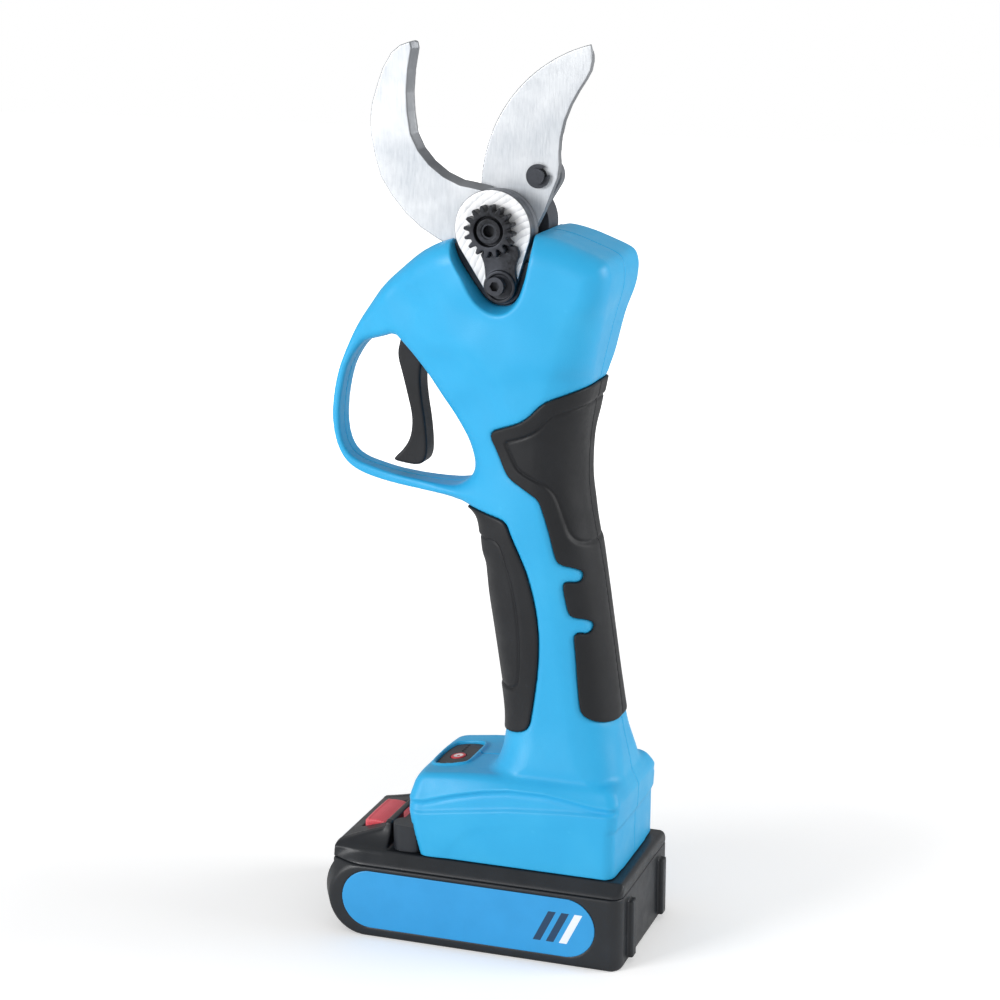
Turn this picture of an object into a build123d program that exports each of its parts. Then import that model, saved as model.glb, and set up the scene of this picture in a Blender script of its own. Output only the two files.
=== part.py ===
from build123d import *
import os
from math import cos, pi, radians, sin

# Battery electric pruner.
# +Z runs up the tool to the blades, -X is the finger guard side and Y = 0 is the plane where the two
# shells meet. The origin is the middle of the battery's flat underside. Lengths are millimetres.

os.makedirs("parts", exist_ok=True)

# Running clearances
SHAFT_GAP = 0.05            # radial gap of a shaft that turns in a hole
SLIDE_GAP = 0.3             # gap beside a part that slides
SPIN_GAP = 0.1              # axial gap between turning faces

# Battery pack
BATTERY_HALF_LENGTH = 64.0
BATTERY_HALF_WIDTH = 35.0
SIDE_TOP_Z = 30.5           # top of the upright side faces
SHOULDER_Z = 36.0           # flat top around the tool's base
SHOULDER_HALF_WIDTH = 29.5
TRAY_WALL = 2.0
CELL_RADIUS = 9.2
CELL_LENGTH = 65.0
CELL_PITCH = 19.2
CELL_COUNT = 5
CELL_Z = 11.8
LABEL_THICKNESS = 0.3
BATTERY_SCREWS = ((-54, -22), (-54, 22), (58, -26), (58, 26))

# Rail between battery and tool
RAIL_REAR_X = 46.0
RAIL_FRONT_X = -27.0
RAIL_NECK_HALF = 15.0
RAIL_HEAD_HALF = 18.0
RAIL_LIP_Z = 39.4
RAIL_TOP_Z = 43.0
CONTACT_YS = (-8.0, 0.0, 8.0)
CONTACT_FRONT_X = 24.0
CONTACT_LENGTH = 12.0

# Latch
LATCH_CENTRE_X = -48.7
LATCH_LENGTH = 10.6
LATCH_WIDTH = 25.0
LATCH_TOP_Z = 42.0

# Base of the tool
BASE_FRONT_X = -29.2
BASE_REAR_X = 60.4
BASE_HALF_WIDTH = 30.0
BASE_STEP_Z = 58.0
BASE_TOP_FRONT_Z = 68.5
BASE_TOP_REAR_Z = 73.0
BASE_TOP_HALF_WIDTH = 24.0

# Handle and head
WALL = 2.6
GUARD_HALF_WIDTH = 6.0
GRIP_PROUD = 0.8            # how far the rubber stands above the shell
GRIP_DEEP = 1.3             # how far the rubber is let into the shell
# Across the side view and up, and how far the head's seat lies behind the middle plane
SHELL_SCREWS = ((40, 262, 13), (-34, 257, 9), (24.5, 150, 13), (29, 100, 13), (-20, 53, 22), (53, 53, 22))
SCREW_SHANK = 1.45
SCREW_HEAD = 2.9

# Blades and pivot
PIVOT_X = 5.5
PIVOT_Z = 291.2
TOOL_LEAN = 7.1             # degrees that the tool axis leans towards the guard
PLATE_NEAR_Y = -20.0
COUNTER_NEAR_Y = -14.0
CUTTER_NEAR_Y = -9.45
EDGE_CENTRE_X = 54.7        # the cutting edge is an arc around this point
EDGE_CENTRE_Z = 305.0
EDGE_RADIUS = 57.7
EDGE_BEVEL = 4.6            # width of the ground bevel
SECTOR_NEAR_Y = -6.0
FRAME_WALL_Y = 2.0
FRAME_FAR_Y = 14.0
BOLT_RADIUS = 6.0
BOLT_THREAD_RADIUS = 5.0
PLATE_RADIUS = 15.35
LOCK_X = 8.2
LOCK_Z = 270.4
LOCK_RADIUS = 6.2
NUT_TEETH = 16
NUT_TIP = 9.9
NUT_ROOT = 7.6
PIN_X = 20.5
PIN_Z = 311.1
PIN_RADIUS = 3.0
TANG_X = 10.0               # round lower end of the counter blade's tang
TANG_Z = 262.5
TANG_RADIUS = 9.0
FRAME_SCREWS = ((5.0, 259.0), (15.0, 259.5))
FRAME_SCREW_END_Y = -7.6

# Bevel gears, planet gears and motor, placed along the tool axis below the pivot
BEVEL_MODULE = 1.1
PINION_TEETH = 12
SECTOR_TEETH = 48           # teeth of the whole wheel that the sector is cut from
SECTOR_FIRST = -9           # first and last tooth kept, counted from the tool axis
SECTOR_LAST = 2
BEVEL_FACE = 8.0
PINION_SHAFT = 4.0
BEARING_RADIUS = 8.0
BEARING_TOP = 30.0
BEARING_WIDTH = 6.0
PLANET_MODULE = 0.7
SUN_TEETH = 12
PLANET_TEETH = 12
RING_TEETH = 36
PLANET_COUNT = 3
GEARBOX_TOP = 41.5
GEARBOX_BOTTOM = 61.0
CARRIER_TOP = 42.5
PLANET_TOP = 46.5
PLANET_WIDTH = 9.0
GEARBOX_RADIUS = 16.0
MOTOR_BOTTOM = 117.0
ROTOR_RADIUS = 8.6
SHAFT_RADIUS = 1.6

# Trigger
TRIGGER_X = -31.0
TRIGGER_Z = 249.0
TRIGGER_HALF_WIDTH = 4.8
TRIGGER_PIN = 1.5

# Display panel on the sloping front of the base
PANEL_X = -15.6
PANEL_Z = 70.3
PANEL_SLOPE = 8.0
PANEL_HALF_LENGTH = 7.6
PANEL_HALF_WIDTH = 14.0
BUTTON_RADIUS = 3.2
BUTTON_Y = -2.5
LIGHT_YS = (3.5, 5.8, 8.1, 10.4)
LIGHT_RADIUS = 0.75
BOARD_DROP = 5.2            # middle of the display board below the panel face

# Distances that follow from the values above
BEVEL_RADIUS = BEVEL_MODULE * SECTOR_TEETH / 2
PINION_RADIUS = BEVEL_MODULE * PINION_TEETH / 2
PLANET_OFFSET = PLANET_MODULE * (SUN_TEETH + PLANET_TEETH) / 2

TOOL_FRAME = Location((PIVOT_X, 0, PIVOT_Z), (0, -TOOL_LEAN, 0))
PANEL_FRAME = Location((PANEL_X, 0, PANEL_Z), (0, -PANEL_SLOPE, 0))


def slab(face, y_near, y_far):
    """An outline drawn in X and Z, made solid between two distances across the tool."""
    return extrude(Plane.XZ.offset(-y_far) * face, amount=y_far - y_near)


def rod(x, z, radius, y_near, y_far):
    """A round bar along Y."""
    return slab(Pos(x, z) * Circle(radius), y_near, y_far)


def box(x0, x1, y0, y1, z0, z1):
    """A block between its lowest and highest corners."""
    size = (x1 - x0, y1 - y0, z1 - z0)
    middle = ((x0 + x1) / 2, (y0 + y1) / 2, (z0 + z1) / 2)
    return Pos(*middle) * Box(*size)


def axial(radius, top, bottom):
    """A round bar on the tool axis, between two distances below the pivot."""
    return Pos(0, 0, -(top + bottom) / 2) * Cylinder(radius, bottom - top)


def curve_face(*curves):
    """A flat face inside splines that run end to end, closed by a straight line where they leave a gap."""
    edges = [Spline(*points) for points in curves]
    for number, points in enumerate(curves):
        following = curves[(number + 1) % len(curves)][0]
        if points[-1] != following:
            edges.append(Line(points[-1], following))
    return make_face(Curve() + edges)


def mirrored(part):
    """The same part on the other side of the middle plane."""
    return mirror(part, about=Plane.XZ)


def largest(part):
    """The main solid of a result, without slivers."""
    return max(part.solids(), key=lambda solid: solid.volume)


def save(name, *solids):
    """Write the solids of one node."""
    export_step(Compound(children=list(solids)) if len(solids) > 1 else solids[0], f"parts/{name}.step")


# ---------------------------------------------------------------- gears

def gear_face(teeth, tip, root, width, turn=0.0):
    """Gear outline with straight-sided teeth. Tip and root are radii, width is the tooth's share of pitch."""
    pitch = 360 / teeth
    points = []
    for tooth in range(teeth):
        centre = turn + tooth * pitch
        for share, radius in ((-1.45, root), (-0.7, tip), (0.7, tip), (1.45, root)):
            angle = radians(centre + share * width * pitch / 2)
            points.append((radius * cos(angle), radius * sin(angle)))
    return make_face(Polyline(*points, close=True))


def bevel_tooth(section, small_share):
    """A tooth that tapers from its large end towards the apex of the pitch cone, at the origin."""
    large = make_face(Polyline(*section, close=True))
    shrunk = [tuple(small_share * value for value in point) for point in section]
    small = make_face(Polyline(*shrunk, close=True))
    return loft([large, small], ruled=True)


def bevel_pinion():
    """Pinion and shaft in the tool frame, with its teeth narrowing towards the pivot."""
    share = (BEVEL_RADIUS - BEVEL_FACE) / BEVEL_RADIUS
    root = PINION_RADIUS - 0.95 * BEVEL_MODULE
    tip = PINION_RADIUS + 0.6 * BEVEL_MODULE
    half_tip = 0.11 * pi * BEVEL_MODULE
    half_root = 0.27 * pi * BEVEL_MODULE
    middle = -BEVEL_RADIUS * (1 + share) / 2
    part = Pos(0, 0, middle) * Cone(root, root * share, BEVEL_FACE)
    section = [(root - 0.6, -half_root), (root, -half_root), (tip, -half_tip)]
    section += [(tip, half_tip), (root, half_root), (root - 0.6, half_root)]
    section = [(x, y, -BEVEL_RADIUS) for x, y in section]
    for tooth in range(PINION_TEETH):
        part += Rot(0, 0, 90 + tooth * 360 / PINION_TEETH) * bevel_tooth(section, share)
    return part + axial(PINION_SHAFT, BEVEL_RADIUS - 0.5, PLANET_TOP - 1)


def sector_teeth():
    """Face teeth of the sector, as one ring of bevel teeth around the pivot."""
    share = (BEVEL_RADIUS - BEVEL_FACE) / BEVEL_RADIUS
    root = -PINION_RADIUS - 0.85 * BEVEL_MODULE
    tip = -PINION_RADIUS + 0.6 * BEVEL_MODULE
    half_tip = 0.11 * pi * BEVEL_MODULE
    half_root = 0.25 * pi * BEVEL_MODULE
    section = [(-half_root, root - 0.8), (-half_root, root), (-half_tip, tip)]
    section += [(half_tip, tip), (half_root, root), (half_root, root - 0.8)]
    section = [(x, y, -BEVEL_RADIUS) for x, y in section]
    pitch = 360 / SECTOR_TEETH
    teeth = [Rot(0, -(tooth + 0.5) * pitch, 0) * bevel_tooth(section, share)
             for tooth in range(SECTOR_FIRST, SECTOR_LAST)]
    return teeth


# ---------------------------------------------------------------- blades and pivot

def teardrop(margin):
    """Outline shared by the head plate, the head frame and the openings around them."""
    around_pivot = Pos(PIVOT_X, PIVOT_Z) * Circle(PLATE_RADIUS + margin)
    around_lock = Pos(LOCK_X, LOCK_Z) * Circle(LOCK_RADIUS + margin)
    return make_hull(around_pivot.edges() + around_lock.edges())


def counter_blade():
    """Fixed hook-shaped blade with its ring around the pivot and a tang down to the head frame."""
    outer = [(-29, 360.8), (-37.5, 356), (-43.5, 343.8), (-46.4, 328), (-42.4, 308.7), (-32.2, 295),
             (-14, 283)]
    inner = [(2, 306), (-8, 307.2), (-19.5, 310.3), (-28, 318.1), (-32.3, 329.6), (-32.6, 343),
             (-29, 360.8)]
    hook = curve_face(outer, inner)
    ring = Pos(PIVOT_X, PIVOT_Z) * Circle(PLATE_RADIUS - 0.6)
    tang = make_hull(ring.edges() + (Pos(TANG_X, TANG_Z) * Circle(TANG_RADIUS)).edges())
    blade = slab(hook + tang, COUNTER_NEAR_Y, CUTTER_NEAR_Y - SHAFT_GAP)
    blade -= rod(PIVOT_X, PIVOT_Z, BOLT_RADIUS, -30, 0)
    blade -= rod(LOCK_X, LOCK_Z, 2.0, -30, 0)
    for x, z in FRAME_SCREWS:
        blade -= rod(x, z, 1.5, -30, 0)
    return blade


def cutting_blade():
    """Moving blade, flat towards the counter blade, with its round cutting edge ground on the far side."""
    outside = [(40.2, 361.6), (16, 374), (-14, 350), (-14, 304), (16, 284)]
    back = [(16, 284), (25.5, 304.4), (28.7, 315.4), (30.3, 332), (38.8, 347.9), (41.3, 355), (40.2, 361.6)]
    face = make_face(Curve() + [Polyline(*outside), Spline(*back)])
    slope = EDGE_BEVEL / (SECTOR_NEAR_Y - CUTTER_NEAR_Y)
    over = 1.0
    near_radius = EDGE_RADIUS + over * slope
    far_radius = EDGE_RADIUS - EDGE_BEVEL - over * slope
    height = SECTOR_NEAR_Y - CUTTER_NEAR_Y + 2 * over
    middle = (CUTTER_NEAR_Y + SECTOR_NEAR_Y) / 2
    cone = Rot(-90, 0, 0) * Cone(near_radius, far_radius, height)
    ground = Pos(EDGE_CENTRE_X, middle, EDGE_CENTRE_Z) * cone
    blade = slab(face, CUTTER_NEAR_Y, SECTOR_NEAR_Y) & ground
    blade += rod(PIVOT_X, PIVOT_Z, PLATE_RADIUS - 1.4, CUTTER_NEAR_Y, SECTOR_NEAR_Y)
    blade -= rod(PIVOT_X, PIVOT_Z, BOLT_RADIUS + SHAFT_GAP, -30, 0)
    return blade - rod(PIN_X, PIN_Z, PIN_RADIUS, -30, 0)


def sector_gear():
    """Bevel gear sector with a lug that the drive pin fastens to the cutting blade."""
    pitch = 360 / SECTOR_TEETH
    slope = (PINION_RADIUS + 0.85 * BEVEL_MODULE) / BEVEL_RADIUS
    small = BEVEL_RADIUS - BEVEL_FACE
    outer = BEVEL_RADIUS + 0.4
    back = CUTTER_NEAR_Y + 0.25
    profile = [(10, SECTOR_NEAR_Y), (10, SECTOR_NEAR_Y + 2.5), (small - 1, SECTOR_NEAR_Y + 2.5),
               (small, -small * slope), (outer, -outer * slope), (outer, back), (small - 1.5, back),
               (small - 3.2, SECTOR_NEAR_Y)]
    start = 90 - (SECTOR_LAST + 0.3) * pitch
    arc = (SECTOR_LAST - SECTOR_FIRST + 0.6) * pitch
    rim = revolve(make_face(Polyline(*profile, close=True)), Axis.Y, revolution_arc=arc)
    part = Rot(0, start, 0) * rim
    for tooth in sector_teeth():
        part += tooth
    part = TOOL_FRAME * part
    inner_end = Pos(PIVOT_X + 3, PIVOT_Z + 3) * Circle(9)
    outer_end = Pos(PIN_X + 1, PIN_Z) * Circle(7)
    lug = make_hull(inner_end.edges() + outer_end.edges())
    part += rod(PIVOT_X, PIVOT_Z, 11.5, SECTOR_NEAR_Y, 0) + slab(lug, SECTOR_NEAR_Y, -1.5)
    part -= rod(PIVOT_X, PIVOT_Z, BOLT_RADIUS + SHAFT_GAP, -30, 10)
    return part - rod(PIN_X, PIN_Z, PIN_RADIUS, -30, 10)


def adjusting_nut():
    """Toothed nut that clamps the blades."""
    face = Pos(PIVOT_X, PIVOT_Z) * gear_face(NUT_TEETH, NUT_TIP, NUT_ROOT, 0.46)
    nut = slab(face, -25, PLATE_NEAR_Y)
    nut -= rod(PIVOT_X, PIVOT_Z, BOLT_THREAD_RADIUS, -30, 0)
    return nut - rod(PIVOT_X, PIVOT_Z, 5.8, -26, -23.5)


def lock_tab():
    """Toothed plate that keeps the adjusting nut from turning."""
    top = Pos(LOCK_X - 0.7, LOCK_Z + 9.5) * Circle(7.0)
    low_end = Pos(LOCK_X, LOCK_Z) * Circle(5.4)
    high_end = Pos(LOCK_X + 0.4, LOCK_Z + 8) * Circle(6.2)
    waist = make_hull(low_end.edges() + high_end.edges())
    face = (Pos(LOCK_X, LOCK_Z) * Circle(LOCK_RADIUS - 0.6)) + waist + top
    tooth_gap = Pos(PIVOT_X, PIVOT_Z) * gear_face(NUT_TEETH, NUT_TIP + 0.25, NUT_ROOT + 0.15, 0.56)
    face -= tooth_gap
    face -= Pos(PIVOT_X, PIVOT_Z) * Circle(NUT_ROOT + 0.2)
    tab = slab(face, PLATE_NEAR_Y - 2, PLATE_NEAR_Y)
    tab -= rod(LOCK_X, LOCK_Z, 2.0, -30, 0)
    return largest(tab)


def pivot_bolt():
    """Bolt through plate, blades, sector gear and frame, with its hexagon head on the far side."""
    bolt = rod(PIVOT_X, PIVOT_Z, BOLT_RADIUS, PLATE_NEAR_Y + 0.5, FRAME_FAR_Y)
    bolt += rod(PIVOT_X, PIVOT_Z, BOLT_THREAD_RADIUS, -23.2, PLATE_NEAR_Y + 0.5)
    bolt += rod(PIVOT_X, PIVOT_Z, 3.6, -24.2, -23.2)
    bolt += slab(Pos(PIVOT_X, PIVOT_Z) * RegularPolygon(9, 6), FRAME_FAR_Y, FRAME_FAR_Y + 5.5)
    return bolt - rod(PIVOT_X, PIVOT_Z, 2.3, -30, -21)


def head_plate():
    """Machined teardrop plate on the near side, under the adjusting nut."""
    plate = slab(teardrop(0), PLATE_NEAR_Y, COUNTER_NEAR_Y)
    plate = chamfer(plate.edges().filter_by_position(Axis.Y, PLATE_NEAR_Y - 0.1, PLATE_NEAR_Y + 0.1), 0.8)
    plate -= rod(PIVOT_X, PIVOT_Z, BOLT_RADIUS, -30, 0)
    return plate - rod(LOCK_X, LOCK_Z, 2.0, -30, 0)


def head_frame():
    """Cast gear head: far wall with the bolt seat, bearing block, flat seat for the counter blade."""
    far_wall = slab(teardrop(0), FRAME_WALL_Y, FRAME_FAR_Y)
    neck = TOOL_FRAME * (Pos(0, 8, -26) * Box(26, 12, 28))
    block = TOOL_FRAME * (Pos(0, 2.25, -35.2) * Box(30, 23.5, 11.2))
    flange = TOOL_FRAME * axial(GEARBOX_RADIUS - 0.5, 38.5, GEARBOX_TOP)
    frame = far_wall + neck + block + flange
    frame -= rod(PIVOT_X, PIVOT_Z, BOLT_RADIUS, -30, 30)
    frame -= TOOL_FRAME * axial(PINION_RADIUS + 1.4, 14, BEARING_TOP)
    frame -= TOOL_FRAME * axial(BEARING_RADIUS, 20, BEARING_TOP + BEARING_WIDTH)
    frame -= TOOL_FRAME * axial(PINION_SHAFT + 1, 20, 60)
    frame -= rod(PIVOT_X, PIVOT_Z, BEVEL_RADIUS + 1.6, -20, FRAME_WALL_Y - 1)
    frame -= box(-40, 60, -30, CUTTER_NEAR_Y - SHAFT_GAP, 200, 320)
    for x, z in FRAME_SCREWS:
        frame -= rod(x, z, 1.5, -30, FRAME_SCREW_END_Y)
    return largest(frame)


def socket_screw(x, z, head, shank, head_y, seat_y, end_y):
    """Socket-head screw along Y."""
    screw = rod(x, z, head, head_y, seat_y) + rod(x, z, shank, seat_y, end_y)
    return screw - slab(Pos(x, z) * RegularPolygon(head * 0.55, 6), head_y - 1, head_y + head * 0.7)


def frame_screws():
    """Screws that hold the counter blade's tang on the head frame."""
    return [socket_screw(x, z, 2.6, 1.45, -16.6, COUNTER_NEAR_Y, FRAME_SCREW_END_Y)
            for x, z in FRAME_SCREWS]


def thrust_washer():
    """Washer between the sector gear and the far wall of the head frame."""
    return rod(PIVOT_X, PIVOT_Z, 11, SPIN_GAP, FRAME_WALL_Y) - rod(PIVOT_X, PIVOT_Z, BOLT_RADIUS, -1, 3)


def drive_pin():
    """Pin that carries the sector gear's push into the blade, with a groove for its clip."""
    pin = rod(PIN_X, PIN_Z, PIN_RADIUS, -12.6, -1.5)
    groove = rod(PIN_X, PIN_Z, PIN_RADIUS + 1, -11.2, -10.2)
    groove -= rod(PIN_X, PIN_Z, PIN_RADIUS - 0.7, -12, -10)
    return pin - groove


def retaining_clip():
    """Open clip in the drive pin's groove."""
    ring = Circle(PIN_RADIUS + 1.6) - Circle(PIN_RADIUS - 0.65) - Rot(0, 0, 30) * Pos(4, 0) * Rectangle(8, 3.4)
    return slab(Pos(PIN_X, PIN_Z) * ring, -11.1, -10.3)


# ---------------------------------------------------------------- gearbox and motor

def planet_places():
    """Angle and centre of each planet in the tool frame."""
    for number in range(PLANET_COUNT):
        angle = number * 360 / PLANET_COUNT
        centre = (PLANET_OFFSET * cos(radians(angle)), PLANET_OFFSET * sin(radians(angle)))
        yield angle, centre


def along_axis(face, top, bottom):
    """An outline across the tool axis, made solid between two distances below the pivot."""
    return extrude(Pos(0, 0, -bottom) * face, amount=bottom - top)


def sun_gear():
    radius = PLANET_MODULE * SUN_TEETH / 2
    face = gear_face(SUN_TEETH, radius + 0.4, radius - 0.65, 0.36) - Circle(SHAFT_RADIUS)
    return TOOL_FRAME * along_axis(face, PLANET_TOP, PLANET_TOP + PLANET_WIDTH)


def planet_gear(angle, centre):
    radius = PLANET_MODULE * PLANET_TEETH / 2
    face = gear_face(PLANET_TEETH, radius + 0.4, radius - 0.65, 0.36, angle + 180 / PLANET_TEETH)
    face -= Circle(1.5 + SHAFT_GAP)
    return TOOL_FRAME * along_axis(Pos(*centre) * face, PLANET_TOP, PLANET_TOP + PLANET_WIDTH)


def planet_carrier():
    top = CARRIER_TOP
    part = axial(12, top, PLANET_TOP - SPIN_GAP - 0.2) - axial(PINION_SHAFT, top - 1, PLANET_TOP)
    for _, centre in planet_places():
        part += along_axis(Pos(*centre) * Circle(1.5), PLANET_TOP - 1, PLANET_TOP + PLANET_WIDTH - 0.5)
    return TOOL_FRAME * part


def ring_gear():
    radius = PLANET_MODULE * RING_TEETH / 2
    inside = gear_face(RING_TEETH, radius - 0.4, radius + 0.65, 0.36)
    face = Circle(GEARBOX_RADIUS - 1.6) - inside
    return TOOL_FRAME * along_axis(face, PLANET_TOP - 1, PLANET_TOP + PLANET_WIDTH + 1)


def gearbox_housing():
    tube = axial(GEARBOX_RADIUS, GEARBOX_TOP, GEARBOX_BOTTOM)
    tube -= axial(GEARBOX_RADIUS - 1.6, GEARBOX_TOP - 1, GEARBOX_BOTTOM - 2.5)
    return TOOL_FRAME * (tube - axial(SHAFT_RADIUS + 2, GEARBOX_TOP, GEARBOX_BOTTOM + 1))


def motor_can():
    outer = axial(GEARBOX_RADIUS - 0.4, GEARBOX_BOTTOM, MOTOR_BOTTOM - 4)
    inner = axial(GEARBOX_RADIUS - 1.4, GEARBOX_BOTTOM + 2.5, MOTOR_BOTTOM)
    return TOOL_FRAME * (outer - inner - axial(3.5, GEARBOX_BOTTOM - 1, GEARBOX_BOTTOM + 3))


def motor_stator():
    slots = 6
    face = Circle(GEARBOX_RADIUS - 1.4) - Circle(ROTOR_RADIUS + 0.4)
    for slot in range(slots):
        face -= Rot(0, 0, slot * 360 / slots) * Pos(11.4, 0) * Rectangle(3.4, 3.0)
    return TOOL_FRAME * along_axis(face, GEARBOX_BOTTOM + 8, MOTOR_BOTTOM - 9)


def motor_windings():
    """Copper filling of the stator's slots."""
    slots = 6
    coils = []
    for slot in range(slots):
        face = Rot(0, 0, slot * 360 / slots) * Pos(11.4, 0) * Rectangle(3.0, 2.6)
        coils.append(TOOL_FRAME * along_axis(face, GEARBOX_BOTTOM + 6, MOTOR_BOTTOM - 7))
    return coils


def motor_end_cap():
    cap = axial(GEARBOX_RADIUS - 0.4, MOTOR_BOTTOM - 4, MOTOR_BOTTOM)
    return TOOL_FRAME * (cap - axial(3.5, MOTOR_BOTTOM - 5, MOTOR_BOTTOM - 1))


def motor_bearings():
    places = ((GEARBOX_BOTTOM, GEARBOX_BOTTOM + 2.5), (MOTOR_BOTTOM - 4, MOTOR_BOTTOM - 1))
    return [TOOL_FRAME * (axial(3.5, top, bottom) - axial(SHAFT_RADIUS + SHAFT_GAP, top - 1, bottom + 1))
            for top, bottom in places]


def rotor_shaft():
    return TOOL_FRAME * axial(SHAFT_RADIUS, PLANET_TOP, MOTOR_BOTTOM - 1.5)


def motor_rotor():
    rotor = axial(ROTOR_RADIUS, GEARBOX_BOTTOM + 9, MOTOR_BOTTOM - 10)
    return TOOL_FRAME * (rotor - axial(SHAFT_RADIUS, GEARBOX_BOTTOM, MOTOR_BOTTOM))


def pinion_bearing():
    bottom = BEARING_TOP + BEARING_WIDTH
    ring = axial(BEARING_RADIUS, BEARING_TOP, bottom)
    return TOOL_FRAME * (ring - axial(PINION_SHAFT + SHAFT_GAP, BEARING_TOP - 1, bottom + 1))


def motor_wires():
    """Three leads from the motor's end cap to the control board."""
    wires = []
    for y in (-7.0, 0.0, 7.0):
        path = Spline((17.0, y, 173.2), (12.5, y, 150), (17.0, y, 110), (31.0, y, 54.2))
        profile = Plane(origin=path @ 0, z_dir=path % 0) * Circle(1.0)
        wires.append(sweep(profile, path=path))
    return wires


# ---------------------------------------------------------------- handle shells

def egg(z, front, rear, half, inset):
    """Rounded section across the tool: narrower towards the guard, fuller at the back."""
    front += inset
    rear -= inset
    half -= inset
    length = rear - front
    spots = ((0.0, 0.0), (0.10, 0.55), (0.35, 0.94), (0.62, 1.0), (0.90, 0.70), (1.0, 0.0))
    side = [(front + share * length, half * width) for share, width in spots]
    other = [(x, -y) for x, y in reversed(side[1:-1])]
    return Pos(0, 0, z) * make_face(Spline(*(side + other), periodic=True))


HANDLE_SECTIONS = (
    (66, 3, 60, 26.5), (74, 5, 58.5, 24.5), (84, 6.4, 56, 20.6), (104, 4.2, 53.8, 20.0),
    (128, 0.6, 49.8, 20.0), (152, -2.6, 46.4, 20.4), (176, -5.0, 42.4, 22.0), (196, -7.0, 40.6, 24.5),
    (214, -14.0, 41.6, 26.5), (232, -27.0, 44.8, 27.6), (250, -44.0, 48.6, 28.0), (266, -48.0, 52.8, 28.0),
    (294, -50.0, 58.0, 28.0),
)


def handle_body(inset):
    """Handle and head in one smooth skin, cut off along the head's sloping top."""
    body = loft([egg(z, front, rear, half, inset) for z, front, rear, half in HANDLE_SECTIONS])
    head = [(-80, 60), (-80, 236), (-56.5, 249.3), (-42.3, 267.5), (-30, 277), (-16.2, 285.5), (0, 289)]
    head += [(21, 291.4), (36.8, 288.4), (51.6, 282.8), (90, 262), (90, 60)]
    top = make_face(Polyline(*[(x, z - inset) for x, z in head], close=True))
    return body & slab(top, -40, 40)


def guard_ring():
    """Finger guard, a closed loop from the head round to the handle."""
    outer = [(-40, 269), (-56.5, 249.3), (-65.8, 228.5), (-68.5, 208.7), (-64.4, 194.6), (-53.7, 187.8),
             (-32.1, 184.2), (-8.9, 180.3), (2, 172)]
    inner = [(2, 184), (-17.5, 186.3), (-36.2, 188.1), (-51.8, 191.3), (-60.6, 196.0), (-64.4, 207),
             (-62.6, 225.8), (-54.6, 240.5), (-34, 256)]
    return slab(curve_face(outer, inner), -GUARD_HALF_WIDTH, GUARD_HALF_WIDTH)


def base_body(inset):
    """Foot of the tool over the battery: upright below the step, tapering to the top above it."""
    def level(z, front, rear, half, radius):
        width = rear - front - 2 * inset
        return Pos((front + rear) / 2, 0, z) * RectangleRounded(width, 2 * (half - inset), radius)

    foot = SHOULDER_Z + SLIDE_GAP if inset == 0 else SHOULDER_Z - 1
    low = extrude(level(foot, BASE_FRONT_X, BASE_REAR_X, BASE_HALF_WIDTH, 4.5), amount=BASE_STEP_Z - foot)
    high = loft([level(BASE_STEP_Z, BASE_FRONT_X + 0.8, BASE_REAR_X - 0.8, BASE_HALF_WIDTH - 1.2, 4.2),
                 level(BASE_TOP_REAR_Z + 2, BASE_FRONT_X + 5, BASE_REAR_X - 3, BASE_TOP_HALF_WIDTH - 1, 4.2)])
    profile = [(BASE_FRONT_X + 4.4, 30), (BASE_FRONT_X, 54), (BASE_FRONT_X + 3, BASE_TOP_FRONT_Z - 1.2),
               (BASE_FRONT_X + 5, BASE_TOP_FRONT_Z), (8, BASE_TOP_REAR_Z), (70, BASE_TOP_REAR_Z), (70, 30)]
    shape = make_face(Polyline(*[(x + inset, z - (inset if z > 60 else 0)) for x, z in profile], close=True))
    return (low + high) & slab(shape, -40, 40)


def front_grip_region():
    """Side view of the rubber at the front of the handle."""
    edge = [(1.5, 178.6), (9.9, 177.2), (13.4, 170.2), (19.9, 155.3), (24.2, 134.6), (24, 116), (21.5, 97.7),
            (18.6, 91.2), (-12, 86)]
    return curve_face(edge, [(-12, 86), (-20, 130), (-16, 181), (1.5, 178.6)])


def rear_grip_region():
    """Side view of the rubber at the back of the handle, with two blue fingers let into its edge."""
    points = [(70, 240), (50.5, 234.4), (36.5, 229.7), (24.9, 223.4), (9.1, 214.3), (4.8, 211), (12.1, 195),
              (24, 187.6), (27, 180), (31.3, 163.4), (33.3, 161), (40.4, 157.9), (39.5, 153.9), (34.2, 153.6),
              (36.6, 140.7), (38.4, 139.3), (44.5, 137), (43.6, 133), (38.4, 132.4), (40.3, 112.7),
              (41.9, 101.1), (45.1, 98.6), (55, 95.5), (70, 97)]
    return make_face(Polyline(*points, close=True))


def grip_halves(region):
    """Left and right half of the rubber skin over the handle inside a side-view outline."""
    skin = handle_body(-GRIP_PROUD) - handle_body(GRIP_DEEP)
    left = largest(skin & slab(region, -40, 0))
    return left, mirrored(left)


def head_opening():
    """Room for the blades: a teardrop through both shells, flared outside, and a slot for the fixed blade."""
    flare = make_face(Polyline((-14, 286), (-21, 300), (34, 304), (27, 290), (22, 282), close=True))
    slot = make_face(Polyline((-22, 281), (-22, 300), (5, 300), (5, 281), close=True))
    cut = slab(teardrop(1.8), -40, 40) + slab(slot, COUNTER_NEAR_Y - 0.4, CUTTER_NEAR_Y + 0.4)
    return cut + slab(flare, -40, COUNTER_NEAR_Y) + slab(flare, FRAME_FAR_Y, 40)


def screw_holes():
    return [rod(x, z, SCREW_SHANK, -9, seat + 1) + rod(x, z, SCREW_HEAD + 0.1, seat, 40)
            for x, z, seat in SHELL_SCREWS]


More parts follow.
